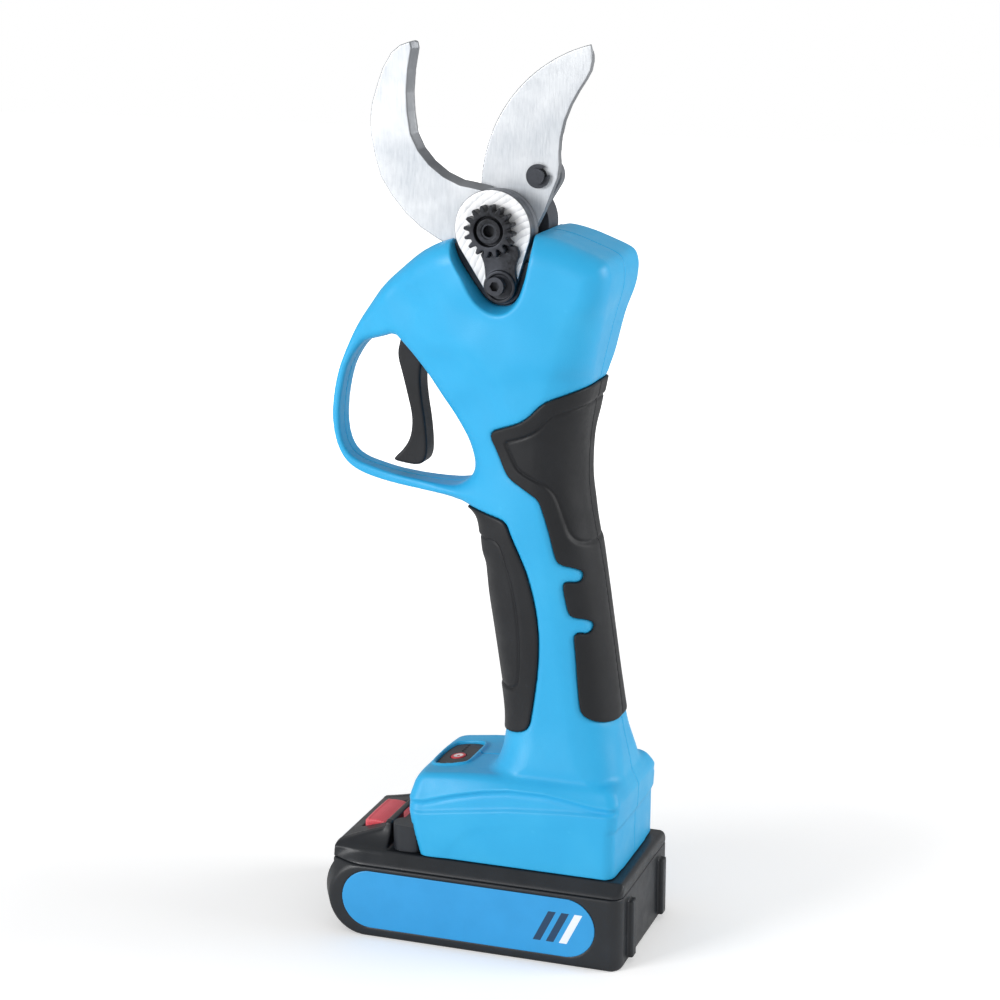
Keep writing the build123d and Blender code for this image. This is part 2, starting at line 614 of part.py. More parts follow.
def shell_screws():
    """Self-tapping screws from the far side."""
    screws = []
    for x, z, seat in SHELL_SCREWS:
        screw = rod(x, z, SCREW_SHANK, -8.5, seat) + rod(x, z, SCREW_HEAD, seat, seat + 2)
        screws.append(screw - slab(Pos(x, z) * RegularPolygon(1.3, 6), seat + 0.8, seat + 3))
    return screws


def trigger_slot():
    """Opening in the front of the head that the trigger hangs out of."""
    points = [(-42, 236), (-42, 247), (-38.5, 257), (-22, 259), (-19, 250), (-22, 232), (-30, 226)]
    return slab(make_face(Polyline(*points, close=True)), -TRIGGER_HALF_WIDTH - 0.5, TRIGGER_HALF_WIDTH + 0.5)


def cavity():
    """Hollow inside the shells, less the screw pillars, the trigger's bosses and the opening's collars."""
    hollow = handle_body(WALL) + base_body(WALL)
    for x, z, _ in SHELL_SCREWS:
        hollow -= rod(x, z, 3.2, -40, 3) + rod(x, z, 4.6, 3, 40)
    hollow -= rod(TRIGGER_X, TRIGGER_Z, 4.0, -40, 40)
    collar = teardrop(4.4) - teardrop(1.8)
    return hollow - slab(collar, -40, PLATE_NEAR_Y) - slab(collar, FRAME_FAR_Y + SPIN_GAP, 40)


def shells(left_grips, right_grips):
    """Left and right shell, split on the middle plane and let in for the rubber on their side."""
    outside = handle_body(0) + base_body(0) + guard_ring()
    half = BASE_HALF_WIDTH - 1.8
    cutters = [cavity(), trigger_slot(), head_opening()]
    cutters.append(PANEL_FRAME * extrude(panel_face(0.1), amount=8, both=True))
    cutters.append(box(-45, BASE_FRONT_X + 10, -half, half, 30, 49))
    cutters.append(rod(TRIGGER_X, TRIGGER_Z, TRIGGER_PIN, -9, 9))
    cutters += screw_holes()
    halves = []
    for y0, y1, grips in ((-60, 0, left_grips), (0, 60, right_grips)):
        part = outside & box(-100, 100, y0, y1, 0, 400)
        for cutter in cutters + list(grips):
            part -= cutter
        halves.append(largest(part))
    return halves


# ---------------------------------------------------------------- trigger

def trigger():
    """Hooked lever with its pivot eye inside the head."""
    front = [(-38.8, 245), (-40.4, 237.3), (-36, 221), (-34, 209.2), (-38.0, 198.4), (-42.3, 194.4)]
    rear = [(-42.3, 194.4), (-38, 192.8), (-31.5, 193), (-28, 198), (-28.5, 211.1), (-30.6, 225),
            (-29.5, 236), (-27, 245)]
    lever = curve_face(front, rear) + Pos(TRIGGER_X, TRIGGER_Z) * Circle(6)
    part = slab(lever, -TRIGGER_HALF_WIDTH, TRIGGER_HALF_WIDTH)
    part -= slab(Pos(TRIGGER_X, TRIGGER_Z) * Circle(3.6), -2.2, 2.2)
    part -= rod(TRIGGER_X + 2.6, TRIGGER_Z - 9, 1.6, -2.5, 2.5)
    return largest(part - rod(TRIGGER_X, TRIGGER_Z, TRIGGER_PIN + SHAFT_GAP, -20, 20))


def trigger_magnet():
    return rod(TRIGGER_X + 2.6, TRIGGER_Z - 9, 1.6, -2.5, 2.5)


def trigger_spring():
    """Torsion spring that returns the trigger, standing in the slot beside the pivot."""
    coil_path = Helix(pitch=0.75, height=2.6, radius=2.5)
    coil = sweep(Plane(origin=coil_path @ 0, z_dir=coil_path % 0) * Circle(0.3), path=coil_path)
    return Location((TRIGGER_X, 1.3, TRIGGER_Z), (90, 0, 0)) * coil


def trigger_sensor_board():
    return box(-19.6, -18.2, -5, 5, 236, 250)


# ---------------------------------------------------------------- display

def panel_face(margin):
    """Outline of the display panel."""
    long = PANEL_HALF_LENGTH + margin
    wide = PANEL_HALF_WIDTH + margin
    points = [(-long, -wide + 4), (-long + 3, -wide), (long - 2, -wide + 1), (long, -wide + 5)]
    points += [(x, -y) for x, y in reversed(points)]
    return make_face(Polyline(*points, close=True))


def display_panel():
    """Dark bezel with the button hole and four light windows."""
    panel = extrude(panel_face(0), amount=-2.0)
    panel -= Pos(0, BUTTON_Y, 0) * Cylinder(BUTTON_RADIUS + SLIDE_GAP, 10)
    for y in LIGHT_YS:
        panel -= Pos(0, y, 0) * Cylinder(LIGHT_RADIUS + SHAFT_GAP, 10)
    return PANEL_FRAME * panel


def power_button():
    """Press button that stands just above the panel."""
    button = Pos(0, BUTTON_Y, -1.2) * Cylinder(BUTTON_RADIUS, 3.4)
    button += Pos(0, BUTTON_Y, -3.2) * Cylinder(BUTTON_RADIUS + 0.9, 0.8)
    return PANEL_FRAME * button


def display_board():
    return PANEL_FRAME * (Pos(0, 0, -BOARD_DROP) * Box(13, 25, 1.0))


def indicator_lights():
    return [PANEL_FRAME * (Pos(0, y, -2.6) * Cylinder(LIGHT_RADIUS, 4.2)) for y in LIGHT_YS]


# ---------------------------------------------------------------- rail and control board

def battery_rail():
    """Channel in the base that the battery's rail slides into, with its rounded front pillars."""
    half = BASE_HALF_WIDTH - WALL - 0.2
    rear = BASE_REAR_X - WALL - 0.2
    front = BASE_FRONT_X + 6
    slide = SLIDE_GAP
    outline = Pos((front + rear) / 2, 0, RAIL_TOP_Z + slide) * RectangleRounded(rear - front, 2 * half, 4.7)
    part = extrude(outline, amount=2.5)
    for side in (-1, 1):
        inner = side * (RAIL_HEAD_HALF + slide)
        outer = side * (RAIL_HEAD_HALF + 5)
        lip = side * (RAIL_NECK_HALF + slide)
        ys = sorted((inner, outer))
        part += box(RAIL_FRONT_X, rear - 0.5, ys[0], ys[1], SHOULDER_Z + slide, RAIL_TOP_Z + 1)
        ys = sorted((lip, outer))
        part += box(RAIL_FRONT_X, rear - 0.5, ys[0], ys[1], SHOULDER_Z + slide, RAIL_LIP_Z - slide)
        pillar_face = Pos(-29.5, side * 23.2) * RectangleRounded(13, 9.6, 4.7)
        part += extrude(Pos(0, 0, SHOULDER_Z + slide) * pillar_face, amount=11)
    part += box(-33, BASE_FRONT_X + 7, -21, 21, RAIL_TOP_Z + 1.5, RAIL_TOP_Z + 4.2)
    for y in CONTACT_YS:
        part -= contact_blade(y)
    return part


def contact_blade(y):
    x0 = CONTACT_FRONT_X
    return box(x0, x0 + CONTACT_LENGTH, y - 0.5, y + 0.5, 38.5, RAIL_TOP_Z + SLIDE_GAP + 4)


def control_board():
    """Board in the base with its capacitor, power transistors and connector."""
    z = 52.0
    board = box(-14.8, 46, -21, 21, z, z + 1.6)
    board += Pos(36, -12, z + 6) * Cylinder(5, 10)
    for x in (0.0, 8.0, 16.0, 24.0):
        board += box(x, x + 5, 8, 17, z + 1, z + 4)
    return board + box(-12, -4, -16, -6, z + 1, z + 7)


# ---------------------------------------------------------------- battery

def side_profile(front, rear, low, top):
    """Side view of the pack: half-round nose in front, small corner radius at the back."""
    nose = (top - low) / 2
    centre = front + nose
    outline = Polyline((centre, top), (rear, top), (rear, low + 3), (rear - 3, low), (centre, low))
    return make_face(outline + ThreePointArc((centre, low), (front, low + nose), (centre, top)))


def case_body(inset):
    """Both battery cases in one: upright sides and bevelled shoulders that also run round the nose."""
    rear = BATTERY_HALF_LENGTH - inset
    sections = []
    nose = -BATTERY_HALF_LENGTH + inset
    levels = ((BATTERY_HALF_WIDTH, nose + 3.5, SIDE_TOP_Z), (SHOULDER_HALF_WIDTH, nose, SHOULDER_Z))
    for y, front, top in levels:
        sections.append((y - inset, side_profile(front, rear, inset, top - inset)))
    (side_y, side), (shoulder_y, middle) = sections
    case = slab(middle, -shoulder_y, shoulder_y)
    for sign in (-1, 1):
        inner = Plane.XZ.offset(sign * shoulder_y) * middle
        outer = Plane.XZ.offset(sign * side_y) * side
        case += loft([inner, outer], ruled=True)
    return case


def battery_tray():
    """Lower case of the pack with its two ribs at the back."""
    tray = (case_body(0) - case_body(TRAY_WALL)) & box(-80, 80, -50, 50, -5, SIDE_TOP_Z)
    for side in (-1, 1):
        tray += Pos(BATTERY_HALF_LENGTH, side * 22, 13) * Box(4, 6, 20)
    for part in label_solids(LABEL_THICKNESS):
        tray -= part
    for x, y in BATTERY_SCREWS:
        tray += Pos(x, y, SIDE_TOP_Z / 2 + 2.5) * Cylinder(2.9, SIDE_TOP_Z - 5)
        tray -= Pos(x, y, SIDE_TOP_Z / 2) * Cylinder(1.5, SIDE_TOP_Z + 2)
        tray -= Pos(x, y, 2.5) * Cylinder(2.8, 5)
    return largest(tray)


def battery_screws():
    screws = []
    for x, y in BATTERY_SCREWS:
        screw = Pos(x, y, 4.0) * Cylinder(2.7, 1.8) + Pos(x, y, 18.5) * Cylinder(1.4, 28)
        screws.append(screw - Pos(x, y, 3.2) * Cylinder(1.0, 1.2))
    return screws


def label_solids(depth):
    """Label outline let into both sides of the pack."""
    face = Pos(-0.6, 15.6) * RectangleRounded(108, 24.8, 12.3)
    near = slab(face, -BATTERY_HALF_WIDTH, -BATTERY_HALF_WIDTH + depth)
    return [near, mirrored(near)]


def hood():
    """Raised front of the cover around the latch."""
    profile = [(-60.3, 33), (-60.3, 36.6), (-56, 38.2), (-41.5, 42.6), (-40.5, 45.6), (-38.2, 45.6),
               (-38, 33)]
    shape = slab(make_face(Polyline(*profile, close=True)), -28, 28)
    sides = loft([Pos(-49, 0, 33) * Rectangle(26, 57), Pos(-49, 0, 46) * Rectangle(26, 41)])
    return shape & sides


def battery_cover():
    """Upper case of the pack: sloping shoulders, hood and rail."""
    cover = (case_body(0) - case_body(TRAY_WALL)) & box(-80, 80, -50, 50, SIDE_TOP_Z, 60)
    cover += hood()
    rail = box(RAIL_FRONT_X - 1, RAIL_REAR_X, -RAIL_NECK_HALF, RAIL_NECK_HALF, SHOULDER_Z - 1, RAIL_TOP_Z)
    rail += box(RAIL_FRONT_X - 1, RAIL_REAR_X, -RAIL_HEAD_HALF, RAIL_HEAD_HALF, RAIL_LIP_Z, RAIL_TOP_Z)
    cover += rail
    cover -= box(10, 42, -12, 12, 30, RAIL_TOP_Z - 2.4)
    for y in CONTACT_YS:
        cover -= box(CONTACT_FRONT_X - 1, RAIL_REAR_X + 1, y - 0.9, y + 0.9, 38, RAIL_TOP_Z + 1)
    cx = LATCH_CENTRE_X
    well = box(cx - LATCH_LENGTH / 2 - 1.8, cx + LATCH_LENGTH / 2 + 1.8, -14.6, 14.6, 26, 38)
    cover += well
    cover -= box(cx - LATCH_LENGTH / 2 - 0.3, cx + LATCH_LENGTH / 2 + 0.3, -12.8, 12.8, 27.5, 60)
    cover -= box(cx, -30, -7.3, 7.3, SHOULDER_Z + 0.3, 44.6)
    for x, y in BATTERY_SCREWS:
        cover += Pos(x, y, 32.8) * Cylinder(2.9, 4.6)
        cover -= Pos(x, y, SIDE_TOP_Z + 1.2) * Cylinder(1.45, 4)
    return largest(cover)


def battery_latch():
    """Press latch with its hook arm reaching back under the tool's front edge."""
    cx = LATCH_CENTRE_X
    long = LATCH_LENGTH / 2
    wide = LATCH_WIDTH / 2
    body = box(cx - long, cx + long, -wide, wide, 34, LATCH_TOP_Z)
    body = fillet(body.edges().filter_by(Axis.Z), 2.0)
    body = chamfer(body.edges().group_by(Axis.Z)[-1], 1.2)
    body -= box(cx - 3.8, cx + 3.8, -10, 10, 33, 36)
    arm = box(cx + 4, -31.5, -6.5, 6.5, 39.2, 41.4)
    return body + arm + box(-34, -31.5, -6.5, 6.5, 40, 44.0)


def latch_spring():
    """Coil spring under the latch."""
    helix = Helix(pitch=1.7, height=7.3, radius=2.6)
    wire = sweep(Plane(origin=helix @ 0, z_dir=helix % 0) * Circle(0.35), path=helix)
    return Pos(LATCH_CENTRE_X, 0, 28.1) * wire


def cell_xs():
    return [(number - (CELL_COUNT - 1) / 2) * CELL_PITCH for number in range(CELL_COUNT)]


def battery_cells():
    half = CELL_LENGTH / 2
    return [rod(x, CELL_Z, CELL_RADIUS, -half, half - 1) + rod(x, CELL_Z, 3, half - 1, half)
            for x in cell_xs()]


def cell_holders():
    """Two combs that space the cells."""
    frames = []
    for y in (-27.0, 23.0):
        frame = box(-47, 50, y, y + 4, 2.6, 21.6)
        for x in cell_xs():
            frame -= rod(x, CELL_Z, CELL_RADIUS + SHAFT_GAP, y - 1, y + 5)
        frames.append(frame)
    return frames


def cell_strips():
    """Nickel strips that join neighbouring cells."""
    half = CELL_LENGTH / 2
    xs = cell_xs()
    strips = []
    for number in range(CELL_COUNT - 1):
        y = half + 0.02 if number % 2 else -half - 0.27
        strips.append(box(xs[number] - 3, xs[number + 1] + 3, y, y + 0.25, CELL_Z - 3.5, CELL_Z + 3.5))
    return strips


def battery_board():
    board = box(-40, 44, -18, 18, 23.4, 25.0)
    return board + box(-20, -8, -6, 6, 24.5, 27.5) + box(0, 8, -14, -4, 24.5, 27)


def battery_terminals():
    """Spring clips on the board that grip the tool's contact blades."""
    clips = []
    for y in CONTACT_YS:
        x0 = CONTACT_FRONT_X
        clip = box(x0, x0 + CONTACT_LENGTH, y - 2.2, y + 2.2, 34, 35)
        clip += box(x0 + 4, x0 + 8, y - 2.2, y + 2.2, 25.0, 34.5)
        for side in (-1, 1):
            ys = sorted((y + side * 1.1, y + side * 2.2))
            clip += box(x0, x0 + CONTACT_LENGTH, ys[0], ys[1], 34, 40.2)
        clips.append(clip)
    return clips


# ---------------------------------------------------------------- write the nodes

front_left, front_right = grip_halves(front_grip_region())
rear_left, rear_right = grip_halves(rear_grip_region())
left_shell, right_shell = shells((front_left, rear_left), (front_right, rear_right))

save("left_shell", left_shell)
save("right_shell", right_shell)
save("front_grip_left", front_left)
save("front_grip_right", front_right)
save("rear_grip_left", rear_left)
save("rear_grip_right", rear_right)
save("shell_screws", *shell_screws())

save("head_frame", head_frame())
save("head_plate", head_plate())
save("counter_blade", counter_blade())
save("cutting_blade", cutting_blade())
save("sector_gear", sector_gear())
save("drive_pin", drive_pin())
save("retaining_clip", retaining_clip())
save("pivot_bolt", pivot_bolt())
save("adjusting_nut", adjusting_nut())
save("lock_tab", lock_tab())
save("lock_screw", socket_screw(LOCK_X, LOCK_Z, 3.6, 1.95, -25.4, PLATE_NEAR_Y - 2, -9.8))
save("frame_screws", *frame_screws())
save("thrust_washer", thrust_washer())

save("bevel_pinion", TOOL_FRAME * bevel_pinion())
save("pinion_bearing", pinion_bearing())
save("planet_carrier", planet_carrier())
for index, (place_angle, place_centre) in enumerate(planet_places(), start=1):
    save(f"planet_gear_{index}", planet_gear(place_angle, place_centre))
save("ring_gear", ring_gear())
save("gearbox_housing", gearbox_housing())
save("sun_gear", sun_gear())
save("rotor_shaft", rotor_shaft())
save("motor_rotor", motor_rotor())
save("motor_can", motor_can())
save("motor_stator", motor_stator())
save("motor_windings", *motor_windings())
save("motor_end_cap", motor_end_cap())
save("motor_bearings", *motor_bearings())
save("motor_wires", *motor_wires())

save("trigger", trigger())
save("trigger_pin", rod(TRIGGER_X, TRIGGER_Z, TRIGGER_PIN, -9, 9))
save("trigger_spring", trigger_spring())
save("trigger_magnet", trigger_magnet())
save("trigger_sensor_board", trigger_sensor_board())

save("display_panel", display_panel())
save("display_board", display_board())
save("power_button", power_button())
save("indicator_lights", *indicator_lights())

save("battery_rail", battery_rail())
save("contact_blades", *[contact_blade(y) for y in CONTACT_YS])
save("control_board", control_board())

save("battery_tray", battery_tray())
save("battery_cover", battery_cover())
save("side_labels", *label_solids(LABEL_THICKNESS))
save("battery_latch", battery_latch())
save("latch_spring", latch_spring())
save("battery_cells", *battery_cells())
save("cell_holders", *cell_holders())
save("cell_strips", *cell_strips())
save("battery_board", battery_board())
save("battery_terminals", *battery_terminals())
save("battery_screws", *battery_screws())
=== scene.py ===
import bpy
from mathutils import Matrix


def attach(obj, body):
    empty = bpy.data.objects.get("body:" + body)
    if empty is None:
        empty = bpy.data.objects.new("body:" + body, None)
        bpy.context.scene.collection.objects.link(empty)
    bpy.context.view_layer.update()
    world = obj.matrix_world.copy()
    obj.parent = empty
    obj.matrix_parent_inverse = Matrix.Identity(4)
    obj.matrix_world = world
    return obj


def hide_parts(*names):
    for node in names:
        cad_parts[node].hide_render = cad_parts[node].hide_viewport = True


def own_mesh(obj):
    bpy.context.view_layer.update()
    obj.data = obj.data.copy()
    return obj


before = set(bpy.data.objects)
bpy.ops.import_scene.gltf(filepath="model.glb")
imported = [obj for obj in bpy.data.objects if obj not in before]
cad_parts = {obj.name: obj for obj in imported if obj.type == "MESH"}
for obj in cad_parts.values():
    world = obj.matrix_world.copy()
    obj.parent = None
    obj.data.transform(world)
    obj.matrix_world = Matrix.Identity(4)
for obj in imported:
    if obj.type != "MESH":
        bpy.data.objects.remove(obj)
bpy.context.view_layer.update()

import copy
import functools
import math

import bpy
import numpy as np
import openvdb
from mathutils import Vector

MM = 0.001

# ---------------- sizes in millimetres, as in the CAD model

# housing
WALL = 2.6
GRIP_PROUD = 0.75
GRIP_DEEP = 1.3
BASE_HALF = 30.0
BASE_BOTTOM = 36.3
SHELL_SCREWS = ((40, 262, 13), (-34, 257, 9), (24.5, 150, 13), (29, 100, 13), (-20, 53, 22), (53, 53, 22))
PILLAR_RADII = {-1: 3.2, 1: 4.6}        # around the shell screws, by side
SCREW_SEAT_RADIUS = 3.1
SCOOP_LEVELS = {-1: 19.0, 1: 15.0}      # Y of the recess's bottom, by side
COLLAR_LEVELS = {-1: 16.0, 1: 13.5}     # Y where the wall round the head plate starts, by side
BLADE_SLOT_Y = (-14.5, -9.0)
TRIGGER_AXIS = (-31.0, 249.0)
TRIGGER_HALF = 4.8

# head
PIVOT = (5.5, 291.2)                    # blade pivot, X and Z
PIVOT_HOLE = 6.0
LOCK = (8.2, 270.4)                     # screw of the lock tab
LOCK_HOLE = 2.0
PIN = (20.5, 311.1)                     # drive pin of the moving blade
PIN_HOLE = 3.0
FRAME_SCREWS = ((5.0, 259.0), (15.0, 259.5))
FRAME_SCREW_HOLE = 1.5
PLATE_RADIUS = 15.35
PLATE_FOOT = (8.4, 269.8, 6.2)          # lower end of the head plate: X, Z, radius
TANG = (10.0, 262.5, 9.0)               # lower end of the fixed blade: X, Z, radius
PLATE_NEAR = -20.0
COUNTER_NEAR = -14.0
CUTTER_NEAR = -9.45
SECTOR_NEAR = -6.0
SECTOR_SWEEP = 27.6                     # radius that the gear sector sweeps
BEVEL_WIDTH = 4.6
NUT_TEETH = 16
TOOTH_HEIGHT = 2.3
CUP = (9.2, 269.9, 6.4)                 # round foot of the lock tab: X, Z, radius

# display
PANEL_ORIGIN = (-15.6, 70.3)
PANEL_SLOPE = math.radians(8.0)
PANEL_HALF = (7.6, 14.0)
BUTTON_Y = -2.5
BUTTON_RADIUS = 3.2
LIGHT_YS = (3.5, 5.8, 8.1, 10.4)
LIGHT_RADIUS = 0.8

# battery
BATTERY_END = 64.0
BATTERY_HALF = 35.0
SHOULDER_HALF = 29.5
SIDE_TOP = 30.5
SHOULDER_TOP = 36.0
CASE_WALL = 2.0
RIB_Y = 22.0
RAIL_TOP = 43.0
BATTERY_SCREWS = ((-54, -22), (-54, 22), (58, -26), (58, 26))
LABEL_X = -0.65
LABEL_Z = 16.25
LABEL_HALF = 54.15
LABEL_RADIUS = 12.45
LABEL_SKIN = (34.66, 35.02)             # inner and outer face, from the middle
LATCH = (-48.7, 10.6, 25.0, 42.0)       # centre X, length, width, top Z
SPRING_BASE = 27.75


# ---------------- fields: signed distances in millimetres

FAR = 1e9
TINY = 1e-6


def pick(fine):
    return fine


def both(*fields):
    """Where all the solids overlap, with sharp edges."""
    return functools.reduce(np.maximum, fields)


def less(field, *cutters):
    """A solid less the cutters, with sharp rims."""
    for cutter in cutters:
        field = np.maximum(field, -cutter)
    return field


def rounded_and(a, b, radius):
    """Intersection of two solids with a rounded edge between them."""
    u = np.maximum(a + radius, 0)
    v = np.maximum(b + radius, 0)
    return np.minimum(np.maximum(a, b), -radius) + np.sqrt(u * u + v * v)


def soft_or(a, b, reach):
    """Union of two solids with a soft fillet."""
    h = np.clip(0.5 + 0.5 * (b - a) / reach, 0, 1)
    return b * (1 - h) + a * h - reach * h * (1 - h)


def soft_cut(a, cutter, reach):
    """Solid a less the cutter, with a softened rim."""
    return -soft_or(-a, cutter, reach)


def smooth(points, rounds):
    """Corner cutting: turns a coarse closed outline into a flowing one."""
    points = np.array(points, float)
    for _ in range(rounds):
        following = np.roll(points, -1, axis=0)
        pair = (0.75 * points + 0.25 * following, 0.25 * points + 0.75 * following)
        points = np.stack(pair, 1).reshape(-1, 2)
    return points


def square_to_segment(start, end, u, v):
    """Square of the distance to the straight line between two points."""
    (ax, ay), (bx, by) = start, end
    dx, dy = bx - ax, by - ay
    t = np.clip(((u - ax) * dx + (v - ay) * dy) / (dx * dx + dy * dy), 0, 1)
    return (u - ax - t * dx) ** 2 + (v - ay - t * dy) ** 2


def distance_2d(points, u, v):
    """Signed distance to a closed outline, negative inside. u and v broadcast against each other."""
    shape = np.broadcast(u, v).shape
    best = np.full(shape, FAR, np.float32)
    inside = np.zeros(shape, bool)
    for start, end in zip(points, np.roll(points, -1, axis=0)):
        (ax, ay), (bx, by) = start, end
        if math.hypot(bx - ax, by - ay) < TINY:
            continue
        best = np.minimum(best, square_to_segment(start, end, u, v))
        if abs(by - ay) > TINY:
            crosses = (v >= min(ay, by)) & (v < max(ay, by))
            inside ^= crosses & (u < ax + (v - ay) * (bx - ax) / (by - ay))
    return np.where(inside, -1, 1) * np.sqrt(best)


def line_distance(points, u, v):
    """Unsigned distance to an open line."""
    squares = [square_to_segment(start, end, u, v) for start, end in zip(points[:-1], points[1:])]
    return np.sqrt(functools.reduce(np.minimum, squares))


def spread(spots, u, v, reach):
    """A value that flows between the spots (u, v, value)."""
    squares = [(u - su) ** 2 + (v - sv) ** 2 for su, sv, _ in spots]
    nearest = squares[0]
    for s in squares[1:]:
        nearest = np.minimum(nearest, s)
    total, weight = 0, 0
    for s, (_, _, value) in zip(squares, spots):
        w = np.exp(-(s - nearest) / (2 * reach * reach))
        total = total + w * value
        weight = weight + w
    return total / weight


def ease(value, width):
    """Soft step from 0 below zero to 1 above it."""
    return 1 / (1 + np.exp(np.clip(-value / width, -30, 30)))


def hump(value, width):
    """Bell of height 1 around zero."""
    return np.exp(-(value / width) ** 2)


class Space:
    """Sample points on a regular grid."""

    def __init__(self, low, high, step):
        self.low = low
        self.step = step
        counts = [int(math.ceil((b - a) / step)) + 1 for a, b in zip(low, high)]
        axes = [a + step * np.arange(n, dtype=np.float32) for a, n in zip(low, counts)]
        self.x = axes[0][:, None, None]
        self.y = axes[1][None, :, None]
        self.z = axes[2][None, None, :]

    def shape(self):
        return np.broadcast(self.x, self.y, self.z).shape

    def below(self, height):
        """The part of the grid under a height, and a mask of the layers in it."""
        layers = self.z[0, 0] < height
        part = copy.copy(self)
        part.z = self.z[:, :, layers]
        return part, layers


def outline_field(s, points, rounds=0):
    """Signed distance to an outline in X and Z, the same all across the tool."""
    return distance_2d(smooth(points, rounds), s.x[:, 0, :], s.z[:, 0, :])[:, None, :]


def cylinder_y(s, x, z, radius):
    return np.hypot(s.x - x, s.z - z) - radius


def cylinder_z(s, x, y, radius):
    return np.hypot(s.x - x, s.y - y) - radius


def block(s, x=(None, None), y=(None, None), z=(None, None)):
    """Space between planes across X, Y and Z. None leaves a side open."""
    planes = []
    for place, (low, high) in ((s.x, x), (s.y, y), (s.z, z)):
        if low is not None:
            planes.append(low - place)
        if high is not None:
            planes.append(place - high)
    return both(*planes)


def even(half):
    """A pair of planes at equal distances on both sides of the middle."""
    return -half, half


BAND = 4          # layers of the grid around the surface that keep their distances


def solid(name, space, field, body, slot, nodes=(), material=None):
    """Meshes the zero surface of a field, with normals from the field itself."""
    step = space.step
    field = np.clip(np.broadcast_to(field, space.shape()), -BAND * step, BAND * step)
    field = np.ascontiguousarray(field, dtype=np.float32)
    grid = openvdb.FloatGrid(BAND * step)
    grid.copyFromArray(field)
    points, quads = grid.convertToQuads(isovalue=0.0)
    if len(quads) == 0:
        raise ValueError("empty piece " + name)
    mesh = mesh_from(name, (np.array(space.low) + points * step) * MM, quads)
    normals_onto(mesh, field_normals(field, points))
    piece_from(name, mesh, body, slot, nodes, material)


def field_normals(field, points):
    """Outward directions at the points, from central differences of the field."""
    shape = np.array(field.shape)
    base = np.clip(np.floor(points).astype(int), 1, shape - 3)
    part = points - base
    total = np.zeros((len(points), 3), np.float32)
    for corner in np.ndindex(2, 2, 2):
        i, j, k = (base + corner).T
        weight = np.prod(np.where(corner, part, 1 - part), axis=1)
        slopes = (field[i + 1, j, k] - field[i - 1, j, k], field[i, j + 1, k] - field[i, j - 1, k],
                  field[i, j, k + 1] - field[i, j, k - 1])
        total += np.stack(slopes, 1) * weight[:, None]
    total[np.linalg.norm(total, axis=1) < 1e-6] = (0, 0, 1)
    return total / np.maximum(np.linalg.norm(total, axis=1), 1e-9)[:, None]


def mesh_from(name, points, faces):
    mesh = bpy.data.meshes.new(name)
    faces = np.asarray(faces, np.int32)
    corners = faces.shape[1]
    mesh.vertices.add(len(points))
    mesh.vertices.foreach_set("co", np.asarray(points, np.float32).ravel())
    mesh.loops.add(len(faces) * corners)
    mesh.loops.foreach_set("vertex_index", faces.ravel())
    mesh.polygons.add(len(faces))
    mesh.polygons.foreach_set("loop_start", np.arange(0, len(faces) * corners, corners, dtype=np.int32))
    mesh.update(calc_edges=True)
    mesh.validate()
    return mesh


def smooth_faces(mesh):
    mesh.polygons.foreach_set("use_smooth", np.ones(len(mesh.polygons), bool))


def normals_onto(mesh, normals):
    smooth_faces(mesh)
    if len(mesh.vertices) == len(normals):
        mesh.normals_split_custom_set_from_vertices([tuple(n) for n in normals.tolist()])


def into_scene(name, data):
    obj = bpy.data.objects.new(name, data)
    bpy.context.scene.collection.objects.link(obj)
    return obj


def piece_from(name, mesh, body, slot, nodes, material=None):
    """Puts a mesh on its body, in place of its CAD nodes, with its slot's material unless one is given."""
    obj = into_scene(name, mesh)
    mesh.materials.append(material or MATERIALS[slot])
    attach(obj, body)
    if nodes:
        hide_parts(*nodes)
    return obj


# ---------------- materials

def srgb(r, g, b):
    def linear(c):
        c = c / 255
        return c / 12.92 if c <= 0.04045 else ((c + 0.055) / 1.055) ** 2.4
    return (linear(r), linear(g), linear(b), 1)


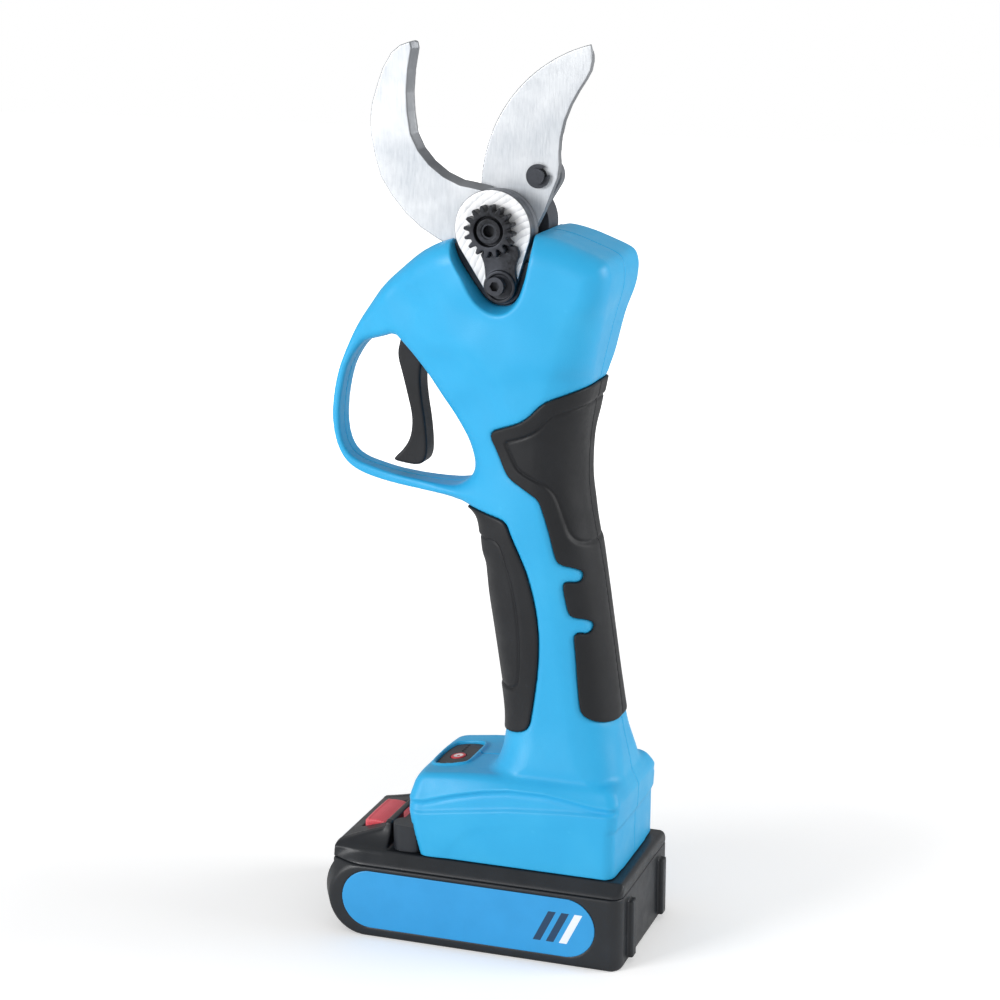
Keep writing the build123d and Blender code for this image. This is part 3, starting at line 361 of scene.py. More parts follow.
class Graph:
    """Small helper around a material's node tree."""

    def __init__(self, name):
        self.material = bpy.data.materials.new(name)
        self.material.use_nodes = True
        self.tree = self.material.node_tree
        self.shader = self.tree.nodes["Principled BSDF"]
        self.coords = self.node("ShaderNodeTexCoord").outputs["Object"]

    def node(self, kind, **values):
        made = self.tree.nodes.new(kind)
        for key, value in values.items():
            setattr(made, key, value)
        return made

    def link(self, source, target):
        self.tree.links.new(source, target)

    def texture(self, kind, output, vector=None, numbers=(), **values):
        """Output of a node that is fed with coordinates. numbers holds (input, value) pairs."""
        made = self.node(kind, **values)
        for key, value in numbers:
            made.inputs[key].default_value = value
        self.link(vector or self.coords, made.inputs["Vector"])
        return made.outputs[output]

    def noise(self, scale, detail=4.0, roughness=0.55, vector=None):
        numbers = (("Scale", scale), ("Detail", detail), ("Roughness", roughness))
        return self.texture("ShaderNodeTexNoise", "Fac", vector, numbers)

    def mapped(self, key, value):
        return self.texture("ShaderNodeMapping", "Vector", None, ((key, value),))

    def length(self, vector):
        made = self.node("ShaderNodeVectorMath", operation="LENGTH")
        self.link(vector, made.inputs[0])
        return made.outputs["Value"]

    def ramp(self, source, stops):
        made = self.node("ShaderNodeValToRGB")
        elements = made.color_ramp.elements
        while len(elements) < len(stops):
            elements.new(0.5)
        for element, (place, colour) in zip(elements, stops):
            element.position = place
            element.color = srgb(*colour)
        self.link(source, made.inputs["Fac"])
        return made.outputs["Color"]

    def remap(self, source, low, high, start=0.0, end=1.0):
        made = self.node("ShaderNodeMapRange")
        for key, value in (("From Min", start), ("From Max", end), ("To Min", low), ("To Max", high)):
            made.inputs[key].default_value = value
        self.link(source, made.inputs["Value"])
        return made.outputs["Result"]

    def mix(self, factor, first, second):
        made = self.node("ShaderNodeMix", data_type="RGBA")
        self.feed(factor, made.inputs[0])
        self.feed(first, made.inputs[6])
        self.feed(second, made.inputs[7])
        return made.outputs[2]

    def math(self, operation, first, second=0.0):
        made = self.node("ShaderNodeMath", operation=operation)
        self.feed(first, made.inputs[0])
        self.feed(second, made.inputs[1])
        return made.outputs[0]

    def feed(self, value, target):
        """Links a socket, or sets a number or a colour."""
        if isinstance(value, bpy.types.NodeSocket):
            self.link(value, target)
        else:
            target.default_value = srgb(*value) if isinstance(value, tuple) else value

    def bump(self, height, depth, strength=1.0):
        made = self.node("ShaderNodeBump")
        made.inputs["Strength"].default_value = strength
        made.inputs["Distance"].default_value = depth
        self.link(height, made.inputs["Height"])
        return made.outputs["Normal"]

    def edge_highlighted(self, colour, light, share):
        """The colour, with a share of the light tone on outside edges: a painted highlight where the edges
        would catch the light.
        """
        point = self.node("ShaderNodeNewGeometry").outputs["Pointiness"]
        return self.mix(self.remap(point, 0.0, share, 0.52, 0.60), colour, light)

    def turned_away(self, start, end):
        """0 where a surface faces straight across the tool, 1 on its sides and bevels."""
        split = self.node("ShaderNodeSeparateXYZ")
        self.link(self.node("ShaderNodeNewGeometry").outputs["Normal"], split.inputs["Vector"])
        return self.remap(self.math("ABSOLUTE", split.outputs["Y"]), 1.0, 0.0, start, end)

    def set(self, **inputs):
        for key, value in inputs.items():
            self.feed(value, self.shader.inputs[key.replace("_", " ")])

    def finished(self, colour, grain, rough, depth, strength, **inputs):
        """The material, with roughness between two values and relief by the grain."""
        relief = self.bump(grain, depth, strength)
        self.set(Base_Color=colour, Roughness=self.remap(grain, *rough), Normal=relief, **inputs)
        return self.material


def plastic(name, base, light, dark, rough, grain, depth, edge_highlight_share=0.25, spec=0.5):
    """Moulded plastic or rubber: spark-eroded grain, slight colour drift, painted highlight on outside
    edges.
    """
    g = Graph(name)
    drift = g.noise(38, 3)
    colour = g.mix(0.22, base, g.ramp(drift, ((0.3, dark), (0.5, base), (0.72, light))))
    fine = g.noise(grain, 2, 0.6)
    colour = g.mix(g.remap(fine, 0.0, 0.10), colour, light)
    # painted highlight: outside edges get a share of the light tone
    colour = g.edge_highlighted(colour, light, edge_highlight_share)
    smudge = g.noise(120, 5, 0.6)
    g.set(Base_Color=colour, Roughness=g.remap(smudge, rough - 0.06, rough + 0.07, 0.3, 0.7))
    g.set(Specular_IOR_Level=spec, Normal=g.bump(fine, depth, 1.0))
    return g.material


def metal(name, base, light, dark, rough, stretch, grain, depth, metallic=1.0, edge_highlight_share=0.3, sides=None):
    """Ground or cast metal: scratches along one direction, painted highlight on outside edges, and, where a
    side tone is given, painted shade on the sides and bevels.
    """
    g = Graph(name)
    scratches = g.noise(grain, 3, 0.6, g.mapped("Scale", stretch))
    cloud = g.noise(45, 4)
    colour = g.ramp(cloud, ((0.28, dark), (0.5, base), (0.75, light)))
    colour = g.mix(g.remap(scratches, 0.0, 0.35, 0.35, 0.75), colour, light)
    # painted highlight: outside edges get a share of the light tone
    colour = g.edge_highlighted(colour, light, edge_highlight_share)
    # painted shade: sides and bevels that turn away from the face take the darker side tone
    if sides:
        painted_side_shade = g.mix(g.remap(cloud, 0.0, 0.5), sides, light)
        colour = g.mix(g.turned_away(0.90, 0.985), colour, painted_side_shade)
    g.set(Base_Color=colour, Metallic=metallic)
    g.set(Roughness=g.remap(scratches, rough - 0.07, rough + 0.1, 0.3, 0.7))
    g.set(Normal=g.bump(scratches, depth, 1.0))
    return g.material


def machined():
    """Faced aluminium: fan of light marks swept by the milling cutter."""
    g = Graph("machined_plate")
    marks = g.texture("ShaderNodeTexWave", "Fac", g.mapped("Location", (-0.034, 0, -0.262)),
                      (("Scale", 130), ("Distortion", 1.6), ("Detail", 3), ("Detail Scale", 2.2)),
                      wave_type="RINGS", rings_direction="Y", wave_profile="SAW")
    streaks = g.noise(420, 3, 0.6, g.mapped("Scale", (1, 1, 0.35)))
    blend = g.math("ADD", g.math("MULTIPLY", marks, 0.38), g.math("MULTIPLY", streaks, 0.62))
    face = g.ramp(blend, ((0.2, (196, 199, 203)), (0.45, (234, 235, 237)), (0.8, (252, 252, 252))))
    side = g.ramp(streaks, ((0.3, (62, 65, 72)), (0.7, (104, 108, 114))))
    colour = g.mix(g.turned_away(0.72, 0.93), face, side)
    return g.finished(colour, blend, (0.3, 0.46), 0.00006, 0.8, Metallic=0.35)


NAVY = (24, 60, 92)
LABEL_BARS = ((0.0245, NAVY), (0.0300, NAVY), (0.0355, (235, 240, 244)))     # X in metres, colour
BAR_HALF = 0.0016
BAR_BOTTOM = 0.0095
BAR_TOP = 0.0225
BAR_LEAN = 0.5


def printed_film():
    """Label film: blue ground and three plain leaning bars, no lettering."""
    g = Graph("label_blue")
    colour = g.ramp(g.noise(60, 3), ((0.35, (40, 150, 212)), (0.65, (44, 155, 218))))
    split = g.node("ShaderNodeSeparateXYZ")
    g.link(g.coords, split.inputs["Vector"])
    x, z = split.outputs["X"], split.outputs["Z"]
    lean = g.math("ADD", x, g.math("MULTIPLY", z, -BAR_LEAN))
    for middle, tint in LABEL_BARS:
        gap = g.math("ABSOLUTE", g.math("SUBTRACT", lean, middle))
        upright = g.math("MULTIPLY", g.math("GREATER_THAN", z, BAR_BOTTOM), g.math("LESS_THAN", z, BAR_TOP))
        colour = g.mix(g.math("MULTIPLY", g.math("LESS_THAN", gap, BAR_HALF), upright), colour, tint)
    return g.finished(colour, g.noise(2600, 2), (0.32, 0.42), 0.00002, 0.6)


def light_window():
    g = Graph("light_window")
    haze = g.noise(900, 3)
    colour = g.ramp(haze, ((0.3, (205, 208, 210)), (0.7, (240, 240, 240))))
    return g.finished(colour, haze, (0.25, 0.4), 0.00003, 0.5)


def button_red():
    """Red cap with a pale printed ring in its middle."""
    g = Graph("button_red")
    centre = g.node("ShaderNodeVectorMath", operation="SUBTRACT")
    g.link(g.coords, centre.inputs[0])
    centre.inputs[1].default_value = (PANEL_ORIGIN[0] * MM, BUTTON_Y * MM, PANEL_ORIGIN[1] * MM)
    grain = g.noise(900, 3)
    wobble = g.math("ADD", g.length(centre.outputs["Vector"]), g.math("MULTIPLY", grain, 0.0003))
    red, pale = (206, 48, 60), (236, 226, 226)
    rings = ((0.0, red), (0.20, red), (0.27, pale), (0.52, pale), (0.60, red), (1.0, red))
    colour = g.ramp(g.remap(wobble, 0, 1, 0, 0.004), rings)
    return g.finished(colour, grain, (0.34, 0.46), 0.00003, 0.7)


def latch_red_dotted():
    """Red plastic with a field of fine raised dots on its top."""
    g = Graph("latch_red_dotted")
    drift = g.noise(60, 3)
    colour = g.ramp(drift, ((0.3, (222, 70, 82)), (0.7, (238, 92, 104))))
    dots = g.texture("ShaderNodeTexVoronoi", "Distance", None, (("Scale", 900), ("Randomness", 0.15)))
    height = g.remap(dots, 1.0, 0.0, 0.15, 0.55)
    # painted highlight: the tops of the raised dots are mixed towards a pale red
    colour = g.mix(g.math("MULTIPLY", height, 0.25), colour, (240, 150, 156))
    # painted highlight on the latch's outside edges
    colour = g.edge_highlighted(colour, (242, 160, 166), 0.4)
    g.set(Base_Color=colour, Roughness=g.remap(drift, 0.36, 0.5), Normal=g.bump(height, 0.00012, 0.8))
    return g.material


# base, light and dark tone, roughness, grain, its depth in metres, share of painted highlight on the edges,
# specular level
PLASTICS = {
    "shell_blue": ((40, 168, 222), (70, 190, 236), (32, 154, 210), 0.42, 2600, 0.00006, 0.2, 0.4),
    "grip_rubber": ((16, 18, 22), (42, 45, 50), (10, 12, 16), 0.50, 3200, 0.00005, 0.2, 0.35),
    "case_black": ((18, 22, 27), (46, 50, 57), (12, 16, 20), 0.40, 2400, 0.00006, 0.35, 0.5),
    "panel_black": ((44, 46, 52), (72, 74, 80), (36, 38, 44), 0.5, 3000, 0.00004, 0.2),
    "latch_red": ((214, 72, 84), (236, 120, 128), (196, 60, 72), 0.42, 1500, 0.00014, 0.35),
    "board_green": ((24, 92, 58), (60, 130, 90), (16, 70, 44), 0.4, 1400, 0.00003),
    "cell_wrap": ((70, 150, 120), (110, 180, 150), (50, 120, 96), 0.35, 900, 0.00002),
    "wire_red": ((190, 40, 40), (220, 80, 80), (150, 30, 30), 0.45, 1600, 0.00003)}
EVEN = (1, 1, 1)
ALONG_Z = (1, 1, 0.12)
ALONG_X = (0.2, 1, 1)
# base, light and dark tone, roughness, stretch, fineness and depth of the scratches, metallic, share of
# painted edge highlight, painted shade of the sides
METALS = {
    # blade_steel's last tone is painted shade on the blade's sides and ground bevels
    "blade_steel": ((198, 202, 207), (226, 229, 232), (178, 184, 191), 0.40, ALONG_Z, 1600, 0.00003, 0.45,
                    0.3, (64, 68, 76)),
    "black_oxide": ((26, 27, 31), (74, 77, 84), (16, 17, 20), 0.40, EVEN, 900, 0.00003, 0.6, 0.5),
    "cast_head": ((52, 55, 61), (98, 102, 110), (34, 37, 43), 0.48, EVEN, 700, 0.00008, 0.7, 0.4),
    "gear_steel": ((92, 96, 102), (150, 154, 160), (62, 66, 72), 0.38, (1, 1, 0.3), 1100, 0.00004, 0.9, 0.5),
    "zinc_screw": ((150, 154, 160), (205, 208, 212), (110, 114, 120), 0.32, EVEN, 900, 0.00003, 1.0, 0.5),
    "copper": ((196, 120, 74), (230, 164, 120), (160, 90, 52), 0.35, ALONG_X, 900, 0.00004),
    "magnet_steel": ((120, 124, 130), (170, 174, 180), (84, 88, 94), 0.4, EVEN, 900, 0.00003, 0.9),
    "nickel": ((190, 188, 180), (222, 220, 212), (150, 148, 142), 0.3, ALONG_X, 900, 0.00002)}

MATERIALS = {name: plastic(name, *values) for name, values in PLASTICS.items()}
MATERIALS.update({name: metal(name, *values) for name, values in METALS.items()})
MATERIALS.update(machined_plate=machined(), label_blue=printed_film(), light_window=light_window())


# ---------------- outlines of the tool, X and Z

GUARD_AND_HEAD = [
    (-16.2, 285.5), (-24.9, 281.3), (-33.1, 274.9), (-42.3, 267.5), (-49.8, 258.5), (-56.5, 249.3),
    (-61.8, 238.5), (-65.8, 228.5), (-68, 216.7), (-68.3, 208.7), (-67, 200.7), (-64.4, 194.6),
    (-60.3, 190.3), (-53.7, 187.4), (-43.3, 185.1), (-32.1, 183.8), (-21.9, 182.9), (-14.5, 181.8),
    (-8.9, 179.8), (-5.2, 177), (-3.6, 173.5)]
HANDLE_FRONT = [
    (-2.9, 168), (-2.4, 160), (-1.9, 152), (-1, 143), (1.4, 128), (3.9, 111.5), (5.6, 100), (6.6, 92),
    (6.6, 84), (5.6, 78), (3, 72), (2, 62)]
HANDLE_REAR = [
    (58, 62), (58, 72), (57, 78), (55.6, 84), (53.9, 91), (51.6, 108), (49.2, 125), (46, 147), (43.6, 162),
    (41.3, 173), (39.4, 183), (38.4, 192), (38.5, 202), (39.2, 212), (40.5, 220), (42.6, 231.7),
    (45.7, 245.6), (49, 259), (51.5, 267.2), (52.3, 272.8), (52.3, 276.6), (51, 280.6), (47.8, 282.6),
    (40.4, 285.4), (34.6, 287.6), (28, 289.4), (21, 290), (14, 289), (4, 288.2), (-8, 287.6)]
GUARD_HOLE = [
    (-38.9, 247), (-46.1, 244.4), (-52.8, 242.6), (-55.4, 240.5), (-58, 237.2), (-61.2, 231.7),
    (-63, 225.8), (-64.5, 218.3), (-65.1, 211.4), (-64.9, 204.5), (-63.4, 198.9), (-60.8, 195.1),
    (-56.5, 192.6), (-51.8, 191.2), (-44, 189.2), (-36.2, 188), (-28.5, 187.2), (-23, 186.8),
    (-17.5, 186.7), (-12.5, 187.4), (-8.4, 190.3), (-6, 193.4), (-5.2, 197), (-5.8, 201.5), (-7.6, 207.1),
    (-10.8, 212.5), (-14.6, 218.3), (-19.4, 224.7), (-25.1, 232.4), (-30.4, 238.7), (-35.2, 243.6)]

# how far the body reaches to either side of the middle, and how round its edge is: X, Z, reach, radius
SPOTS = [
    (20, 275, 28, 11), (2, 275, 27.4, 10), (-12, 278, 25.5, 9.5), (-25, 273, 21, 9), (-38, 264, 14.5, 7),
    (-50, 252, 9, 4.5), (-58, 240, 6.6, 1.9), (-66, 222, 6, 1.4), (-67, 205, 6, 1.4), (-62, 193, 6, 1.3),
    (-48, 187, 6.2, 1.2), (-34, 185.5, 7, 1.2), (-20, 184, 9, 1.5), (-2, 183, 17, 9), (8, 186, 20.4, 14),
    (-5, 197, 13.5, 5), (5, 200, 20, 9), (-9, 214, 14, 5), (2, 216, 21.5, 9), (-20, 230, 14, 5),
    (-8, 232, 21, 8), (-32, 244, 13, 4.5), (-22, 250, 20, 6), (-10, 254, 24.5, 9), (5, 245, 26.2, 11),
    (25, 250, 27.6, 13), (42, 250, 26.6, 14), (20, 225, 25, 14), (38, 225, 24.2, 17), (22, 205, 22.6, 16),
    (20, 188, 21.4, 17), (20, 170, 20.6, 18), (20, 150, 20.2, 18.5), (22, 130, 20, 18.5),
    (26, 110, 20, 18.5), (30, 95, 20.2, 18), (31, 84, 21.6, 17), (31, 76, 24.2, 16), (31, 68, 26.4, 14)]
# spots that only set the reach, or only the radius
REACH_SPOTS = [(40, 275, 27.6), (-10, 186, 12.5), (-34, 254, 15), (36, 205, 21.8)]
RADIUS_SPOTS = [(44, 272, 10), (-10, 184, 5), (-34, 256, 5), (34, 205, 19)]
SPOT_BLEND = 7.0          # how far a spot is felt

REAR_GRIP = [
    (66, 239.5), (50.5, 234.4), (36.5, 229.7), (28.8, 226.9), (25.6, 224.4), (21.6, 220.2), (17.4, 217.4),
    (9.1, 214.3), (5.6, 212.9), (4.6, 210.4), (6.6, 206.4), (8.6, 201.8), (10.6, 197.1), (13, 194.2),
    (17.1, 191.8), (22, 188.8), (24.4, 187.2), (26, 183.6), (29, 172.4), (31, 164), (32.6, 161.2),
    (38, 159.5), (40.4, 158), (40.9, 155.6), (39.5, 153.4), (35, 154.2), (34, 153), (34.9, 147.4),
    (36.4, 141.2), (38.2, 139.7), (42.6, 138.6), (44.7, 136.8), (44.6, 134.2), (43, 132.6), (39.4, 133.5),
    (38.4, 132), (39.2, 125.4), (40.3, 112.7), (41.2, 104.3), (42.2, 100.6), (45.6, 98), (50.1, 96.3),
    (55, 95.5), (66, 97.5)]
REAR_GRIP_PANEL = [
    (66, 232), (48.9, 226.8), (39.9, 223.8), (31.2, 221.2), (28.4, 218.6), (25.4, 215.2), (21.6, 212.8),
    (16.5, 210.8), (12, 209.4), (11.4, 208.2), (12.8, 205.4), (14.5, 201.8), (16.6, 198.4), (22, 195.6),
    (27.4, 193.2), (30.2, 190.2), (31.9, 186.3), (33.9, 179.2), (35.6, 173.4), (38, 170), (41.9, 168.2),
    (45.9, 167.6), (51.2, 168.8), (66, 170)]
FRONT_GRIP = [
    (-16, 181), (1.5, 178.6), (9, 177.4), (11.2, 175.6), (13.4, 170.2), (17, 162.8), (19.9, 155.3),
    (22.8, 144.4), (24.2, 134.6), (24.5, 126.1), (24, 116), (22.9, 107.2), (21.5, 97.7), (20.8, 93.8),
    (18.6, 91.2), (13.6, 89.5), (5, 88), (-16, 86)]
FRONT_GRIP_PANEL = [
    (-16, 168.2), (2.3, 168.6), (6.3, 168.3), (8.4, 166), (10.6, 159.4), (13.5, 150.5), (15.3, 140.8),
    (16.2, 130.9), (16.4, 120.9), (15.8, 111.4), (14.8, 108.8), (12.4, 107.5), (-16, 107)]

SCOOP_MOUTH = [
    (-13.5, 300), (-10.2, 287.8), (-9, 281.6), (-4.8, 273), (-0.9, 265), (2.1, 261.6), (6.2, 259.6),
    (10.4, 259.4), (14.6, 261.4), (18.2, 265.4), (20.4, 271.8), (22.2, 279.6), (23.6, 286.4), (25.6, 293),
    (27, 300), (0, 320)]
SCOOP_FLOOR = [
    (-13, 300), (-11.4, 286), (-9.4, 279.6), (-6, 274.4), (-2.4, 269.4), (1, 264.8), (4.6, 262.4),
    (8.6, 261.6), (12.6, 262.4), (15.6, 265.4), (18, 271.8), (20.2, 279.8), (21.8, 287), (22.8, 300),
    (0, 320)]
BLADE_SLOT = [(-23, 280.5), (-23, 300), (5, 300), (5, 280.5)]
TRIGGER_SLOT = [(-42, 236), (-42, 247), (-38.5, 257), (-22, 259), (-19, 250), (-22, 232), (-30, 226)]
BODY = GUARD_AND_HEAD + HANDLE_FRONT + HANDLE_REAR

# foot of the tool: edges and lines as tables of (place, value)
FOOT_BLEND_TOP = 96
BASE_REAR = ((30, 59.2), (55.4, 59.4), (57.2, 60.3), (67, 60.8), (69, 60), (76, 55.5))
BASE_FRONT = (
    (30, -24), (36, -25.2), (46, -28), (55, -29.6), (60, -29.6), (66, -27.6), (69.5, -25.6), (76, -20))
BASE_TOP = ((-32, 68.9), (-26, 69.5), (-8, 71.7), (5, 72.7), (22, 73), (60, 73))
LOWER_LINE = (
    (-32, 54.6), (-21.5, 54.6), (-7.7, 56.8), (15.1, 60.2), (37.5, 62.1), (52.2, 62.9), (62, 63.3))
UPPER_LINE = (
    (-32, 59.4), (-21.5, 60), (-7.6, 64.3), (3.8, 67.2), (15.1, 68.9), (30.1, 69.1), (41.1, 67.8),
    (50.8, 66.4), (62, 66.2))
BASE_FACET = [(-22, 30), (-12.5, 38), (-1, 50.2), (18.8, 54.3), (52.1, 56.9), (80, 58), (80, 20), (-22, 20)]
HOOD_TOP = ((-66, 34.0), (-60.3, 36.6), (-56, 38.0), (-41.6, 42.4), (-40.9, 45.4), (-30, 45.6))


def rows(table, at):
    """Straight-line interpolation through a table of (place, value)."""
    places, values = zip(*table)
    return np.interp(at, places, values).astype(np.float32)


def base_field(s):
    """Foot of the tool: upright skirt, arched recessed band and tapering top."""
    lower = rows(LOWER_LINE, s.x)
    upper = rows(UPPER_LINE, s.x)
    top = rows(BASE_TOP, s.x)
    over_lower = s.z - lower
    over_upper = s.z - upper
    taper = np.clip(over_upper / np.maximum(top - upper + 0.5, 1.5), 0, 1.4)
    half = BASE_HALF - 1.1 * ease(over_lower, 0.35) + 0.75 * ease(over_upper, 0.35)
    half = half - 0.9 * np.clip(over_lower / 6, 0, 1) - 4.0 * taper ** 1.15
    half = half - 0.35 * ease(-outline_field(s, BASE_FACET), 0.8)
    ridges = 0.45 * hump(over_lower, 0.55) + 0.5 * hump(over_upper, 0.6) - 0.4 * hump(over_upper + 2.0, 0.7)
    side = np.abs(s.y) - half - ridges
    narrow = np.clip((np.abs(s.y) - 12) / 18, 0, 1) ** 2
    ends = np.maximum(s.x - rows(BASE_REAR, s.z) + narrow, rows(BASE_FRONT, s.z) - s.x + 2.2 * narrow)
    f = rounded_and(rounded_and(side, ends, 4.0), s.z - top, 2.2)
    return np.maximum(f, BASE_BOTTOM - s.z)


def panel_axes(s):
    """Coordinates along, across and above the sloping panel."""
    cosine, sine = math.cos(PANEL_SLOPE), math.sin(PANEL_SLOPE)
    dx, dz = s.x - PANEL_ORIGIN[0], s.z - PANEL_ORIGIN[1]
    return dx * cosine + dz * sine, s.y, dz * cosine - dx * sine


def panel_distance(u, v):
    """Outline of the panel: a rectangle with its corners cut, more at the front."""
    long, wide = PANEL_HALF
    points = [(-long, -wide + 4), (-long + 3, -wide), (long - 2, -wide + 1), (long, -wide + 5)]
    points += [(u, -v) for u, v in reversed(points)]
    return distance_2d(smooth(points, 2), u, v)


def upper_skin(s):
    """Outside skin of the handle, head and guard, without the foot."""
    x2, z2 = s.x[:, 0, :], s.z[:, 0, :]
    edge = less(outline_field(s, BODY, 2), outline_field(s, GUARD_HOLE, 1))
    reaches = REACH_SPOTS + [(x, z, reach) for x, z, reach, _ in SPOTS]
    radii = RADIUS_SPOTS + [(x, z, radius) for x, z, _, radius in SPOTS]
    reach = spread(reaches, x2, z2, SPOT_BLEND)[:, None, :]
    radius = np.minimum(spread(radii, x2, z2, SPOT_BLEND)[:, None, :], reach - 0.3)
    return rounded_and(edge, np.abs(s.y) - reach, radius)


def whole_skin(s):
    """Outside skin with the foot blended on."""
    skin = np.array(np.broadcast_to(upper_skin(s), s.shape()))
    foot, layers = s.below(FOOT_BLEND_TOP)
    skin[:, :, layers] = soft_or(skin[:, :, layers], base_field(foot), 3.0)
    return skin


def scoop_field(s, sign):
    """Recess around the head plate, open at the top, with leaning walls."""
    out = s.y * sign
    level = SCOOP_LEVELS[sign]
    share = np.clip((out - level) / 8.0, 0, 1.2)
    wall = outline_field(s, SCOOP_FLOOR, 2) * (1 - share) + outline_field(s, SCOOP_MOUTH, 2) * share
    return np.maximum(wall, level - out)


def lobe(s, radius, foot):
    """Tapered bar from a disc around the blade pivot to the disc foot (X, Z, radius)."""
    ax, az = PIVOT
    bx, bz, foot_radius = foot
    length = math.hypot(bx - ax, bz - az)
    ex, ez = (bx - ax) / length, (bz - az) / length
    along = (s.x - ax) * ex + (s.z - az) * ez
    across = np.abs((s.z - az) * ex - (s.x - ax) * ez)
    slope = (radius - foot_radius) / length
    cosine = math.sqrt(1 - slope * slope)
    start = np.hypot(along, across) - radius
    end = np.hypot(along - length, across) - foot_radius
    side = across * cosine + along * slope - radius
    key = along * cosine - across * slope
    return np.where(key < 0, start, np.where(key > length * cosine, end, side))


def shell_field(s, sign):
    """One half of the tool's housing. sign is -1 for the near (left) half, 1 for the far one."""
    out = s.y * sign
    skin = whole_skin(s)
    zone = np.minimum(outline_field(s, REAR_GRIP, 1), outline_field(s, FRONT_GRIP, 1))
    scoop = scoop_field(s, sign)
    head = lobe(s, PLATE_RADIUS, (*LOCK, PLATE_FOOT[2]))
    u, v, w = panel_axes(s)
    panel = panel_distance(u, v)

    # the plastic steps down slightly next to the rubber, and a low rim frames the panel
    outside = skin + 0.28 * ease(1.25 - zone, 0.18)
    rim = rounded_and(panel - 1.6, np.maximum(w - 1.25, -4 - w), 0.5)
    outside = soft_or(outside, rim, 0.6)

    # hollow inside, up to the walls of the recess, head, trigger pivot, panel seat and screw pillars
    hollow = less(skin + WALL, scoop - WALL, both(head - 3.4, COLLAR_LEVELS[sign] - out),
                  cylinder_y(s, *TRIGGER_AXIS, 4.0), both(panel - 3.2, -8 - w))
    for x, z, _ in SHELL_SCREWS:
        hollow = less(hollow, cylinder_y(s, x, z, PILLAR_RADII[sign]))

    # openings for the recess, the head, the blades and the trigger
    part = less(soft_cut(outside, scoop, 1.6), hollow, head - 0.9,
                both(outline_field(s, SCOOP_FLOOR, 2), 14.5 - out),
                both(outline_field(s, BLADE_SLOT), block(s, y=BLADE_SLOT_Y)))
    part = soft_cut(part, both(outline_field(s, TRIGGER_SLOT, 1), block(s, y=even(5.3))), 0.5)

    # seats of the panel, the rubber and the screws, room for the gear sector, the rail and the battery
    part = less(part, both(panel - 0.12, np.abs(w + 1.0) - 7.0), both(zone - 0.18, -(skin + GRIP_DEEP)))
    if sign > 0:
        for x, z, seat in SHELL_SCREWS:
            part = less(part, both(cylinder_y(s, x, z, SCREW_SEAT_RADIUS), seat - s.y))
    swept = both(cylinder_y(s, *PIVOT, SECTOR_SWEEP), block(s, y=(-9.6, 1.2)))
    part = less(part, both(swept, skin + 0.8), block(s, x=(-45, -19.2), y=even(28.2), z=(None, 49)),
                block(s, x=(-20, 56.8), y=even(27.4), z=(None, 44)))
    return rounded_and(part, 0.05 - out, 0.3)


def build_shells():
    step = pick(0.6)
    for side, sign, low, high in (("left", -1, -31.5, 1.5), ("right", 1, -1.5, 31.5)):
        s = Space((-71.0, low, 34.8), (63.5, high, 293.5), step)
        solid(f"shell_{side}", s, shell_field(s, sign), "handle", "shell_blue", (f"{side}_shell",))


# name, outline, sunk panel, lowest and highest X and Z
GRIPS = (("rear_grip", REAR_GRIP, REAR_GRIP_PANEL, (3.0, 92.0), (60.0, 242.0)),
         ("front_grip", FRONT_GRIP, FRONT_GRIP_PANEL, (-8.0, 84.0), (28.0, 183.0)))


def build_grips():
    step = pick(0.5)
    for name, outline, panel_points, low, high in GRIPS:
        for side, sign, near, far in (("left", -1, -31.0, 1.2), ("right", 1, -1.2, 31.0)):
            s = Space((low[0], near, low[1]), (high[0], far, high[1]), step)
            skin = upper_skin(s)
            panel = outline_field(s, panel_points, 1)
            outer = skin - GRIP_PROUD + 0.75 * hump(panel, 0.5) + 0.45 * ease(-panel, 0.3)
            f = rounded_and(outer, outline_field(s, outline, 1), 0.8)
            f = less(f, skin + GRIP_DEEP - 0.1)
            f = rounded_and(f, 0.04 - s.y * sign, 0.2)
            solid(f"{name}_{side}_rubber", s, f, "handle", "grip_rubber", (f"{name}_{side}",))


# ---------------- trigger

TRIGGER_OUTLINE = [
    (-38, 248), (-38.9, 243.2), (-40.3, 237.3), (-38.1, 229.6), (-36, 221), (-34.4, 214.4), (-34.1, 209.2),
    (-35.1, 203.4), (-38.2, 198.6), (-41.9, 195.2), (-42, 194), (-38.5, 193.3), (-32.7, 192.7),
    (-29.8, 193.6), (-28.1, 196.4), (-27.7, 201.2), (-28.5, 211.1), (-29.8, 218.9), (-30.6, 227.1),
    (-30, 234.5), (-26, 244), (-25.2, 250), (-28, 254), (-34, 254)]


def build_trigger():
    s = Space((-43.5, -6, 191.5), (-23.5, 6, 256), pick(0.35))
    edge = outline_field(s, TRIGGER_OUTLINE, 2)
    f = rounded_and(edge, block(s, y=even(TRIGGER_HALF)), 1.1)
    back = both(edge + 1.8, block(s, y=even(2.6), z=(243, None)))
    f = less(f, back, cylinder_y(s, *TRIGGER_AXIS, 1.56))
    solid("trigger_lever", s, f, "trigger", "grip_rubber", ("trigger",))


# ---------------- blades and head metal

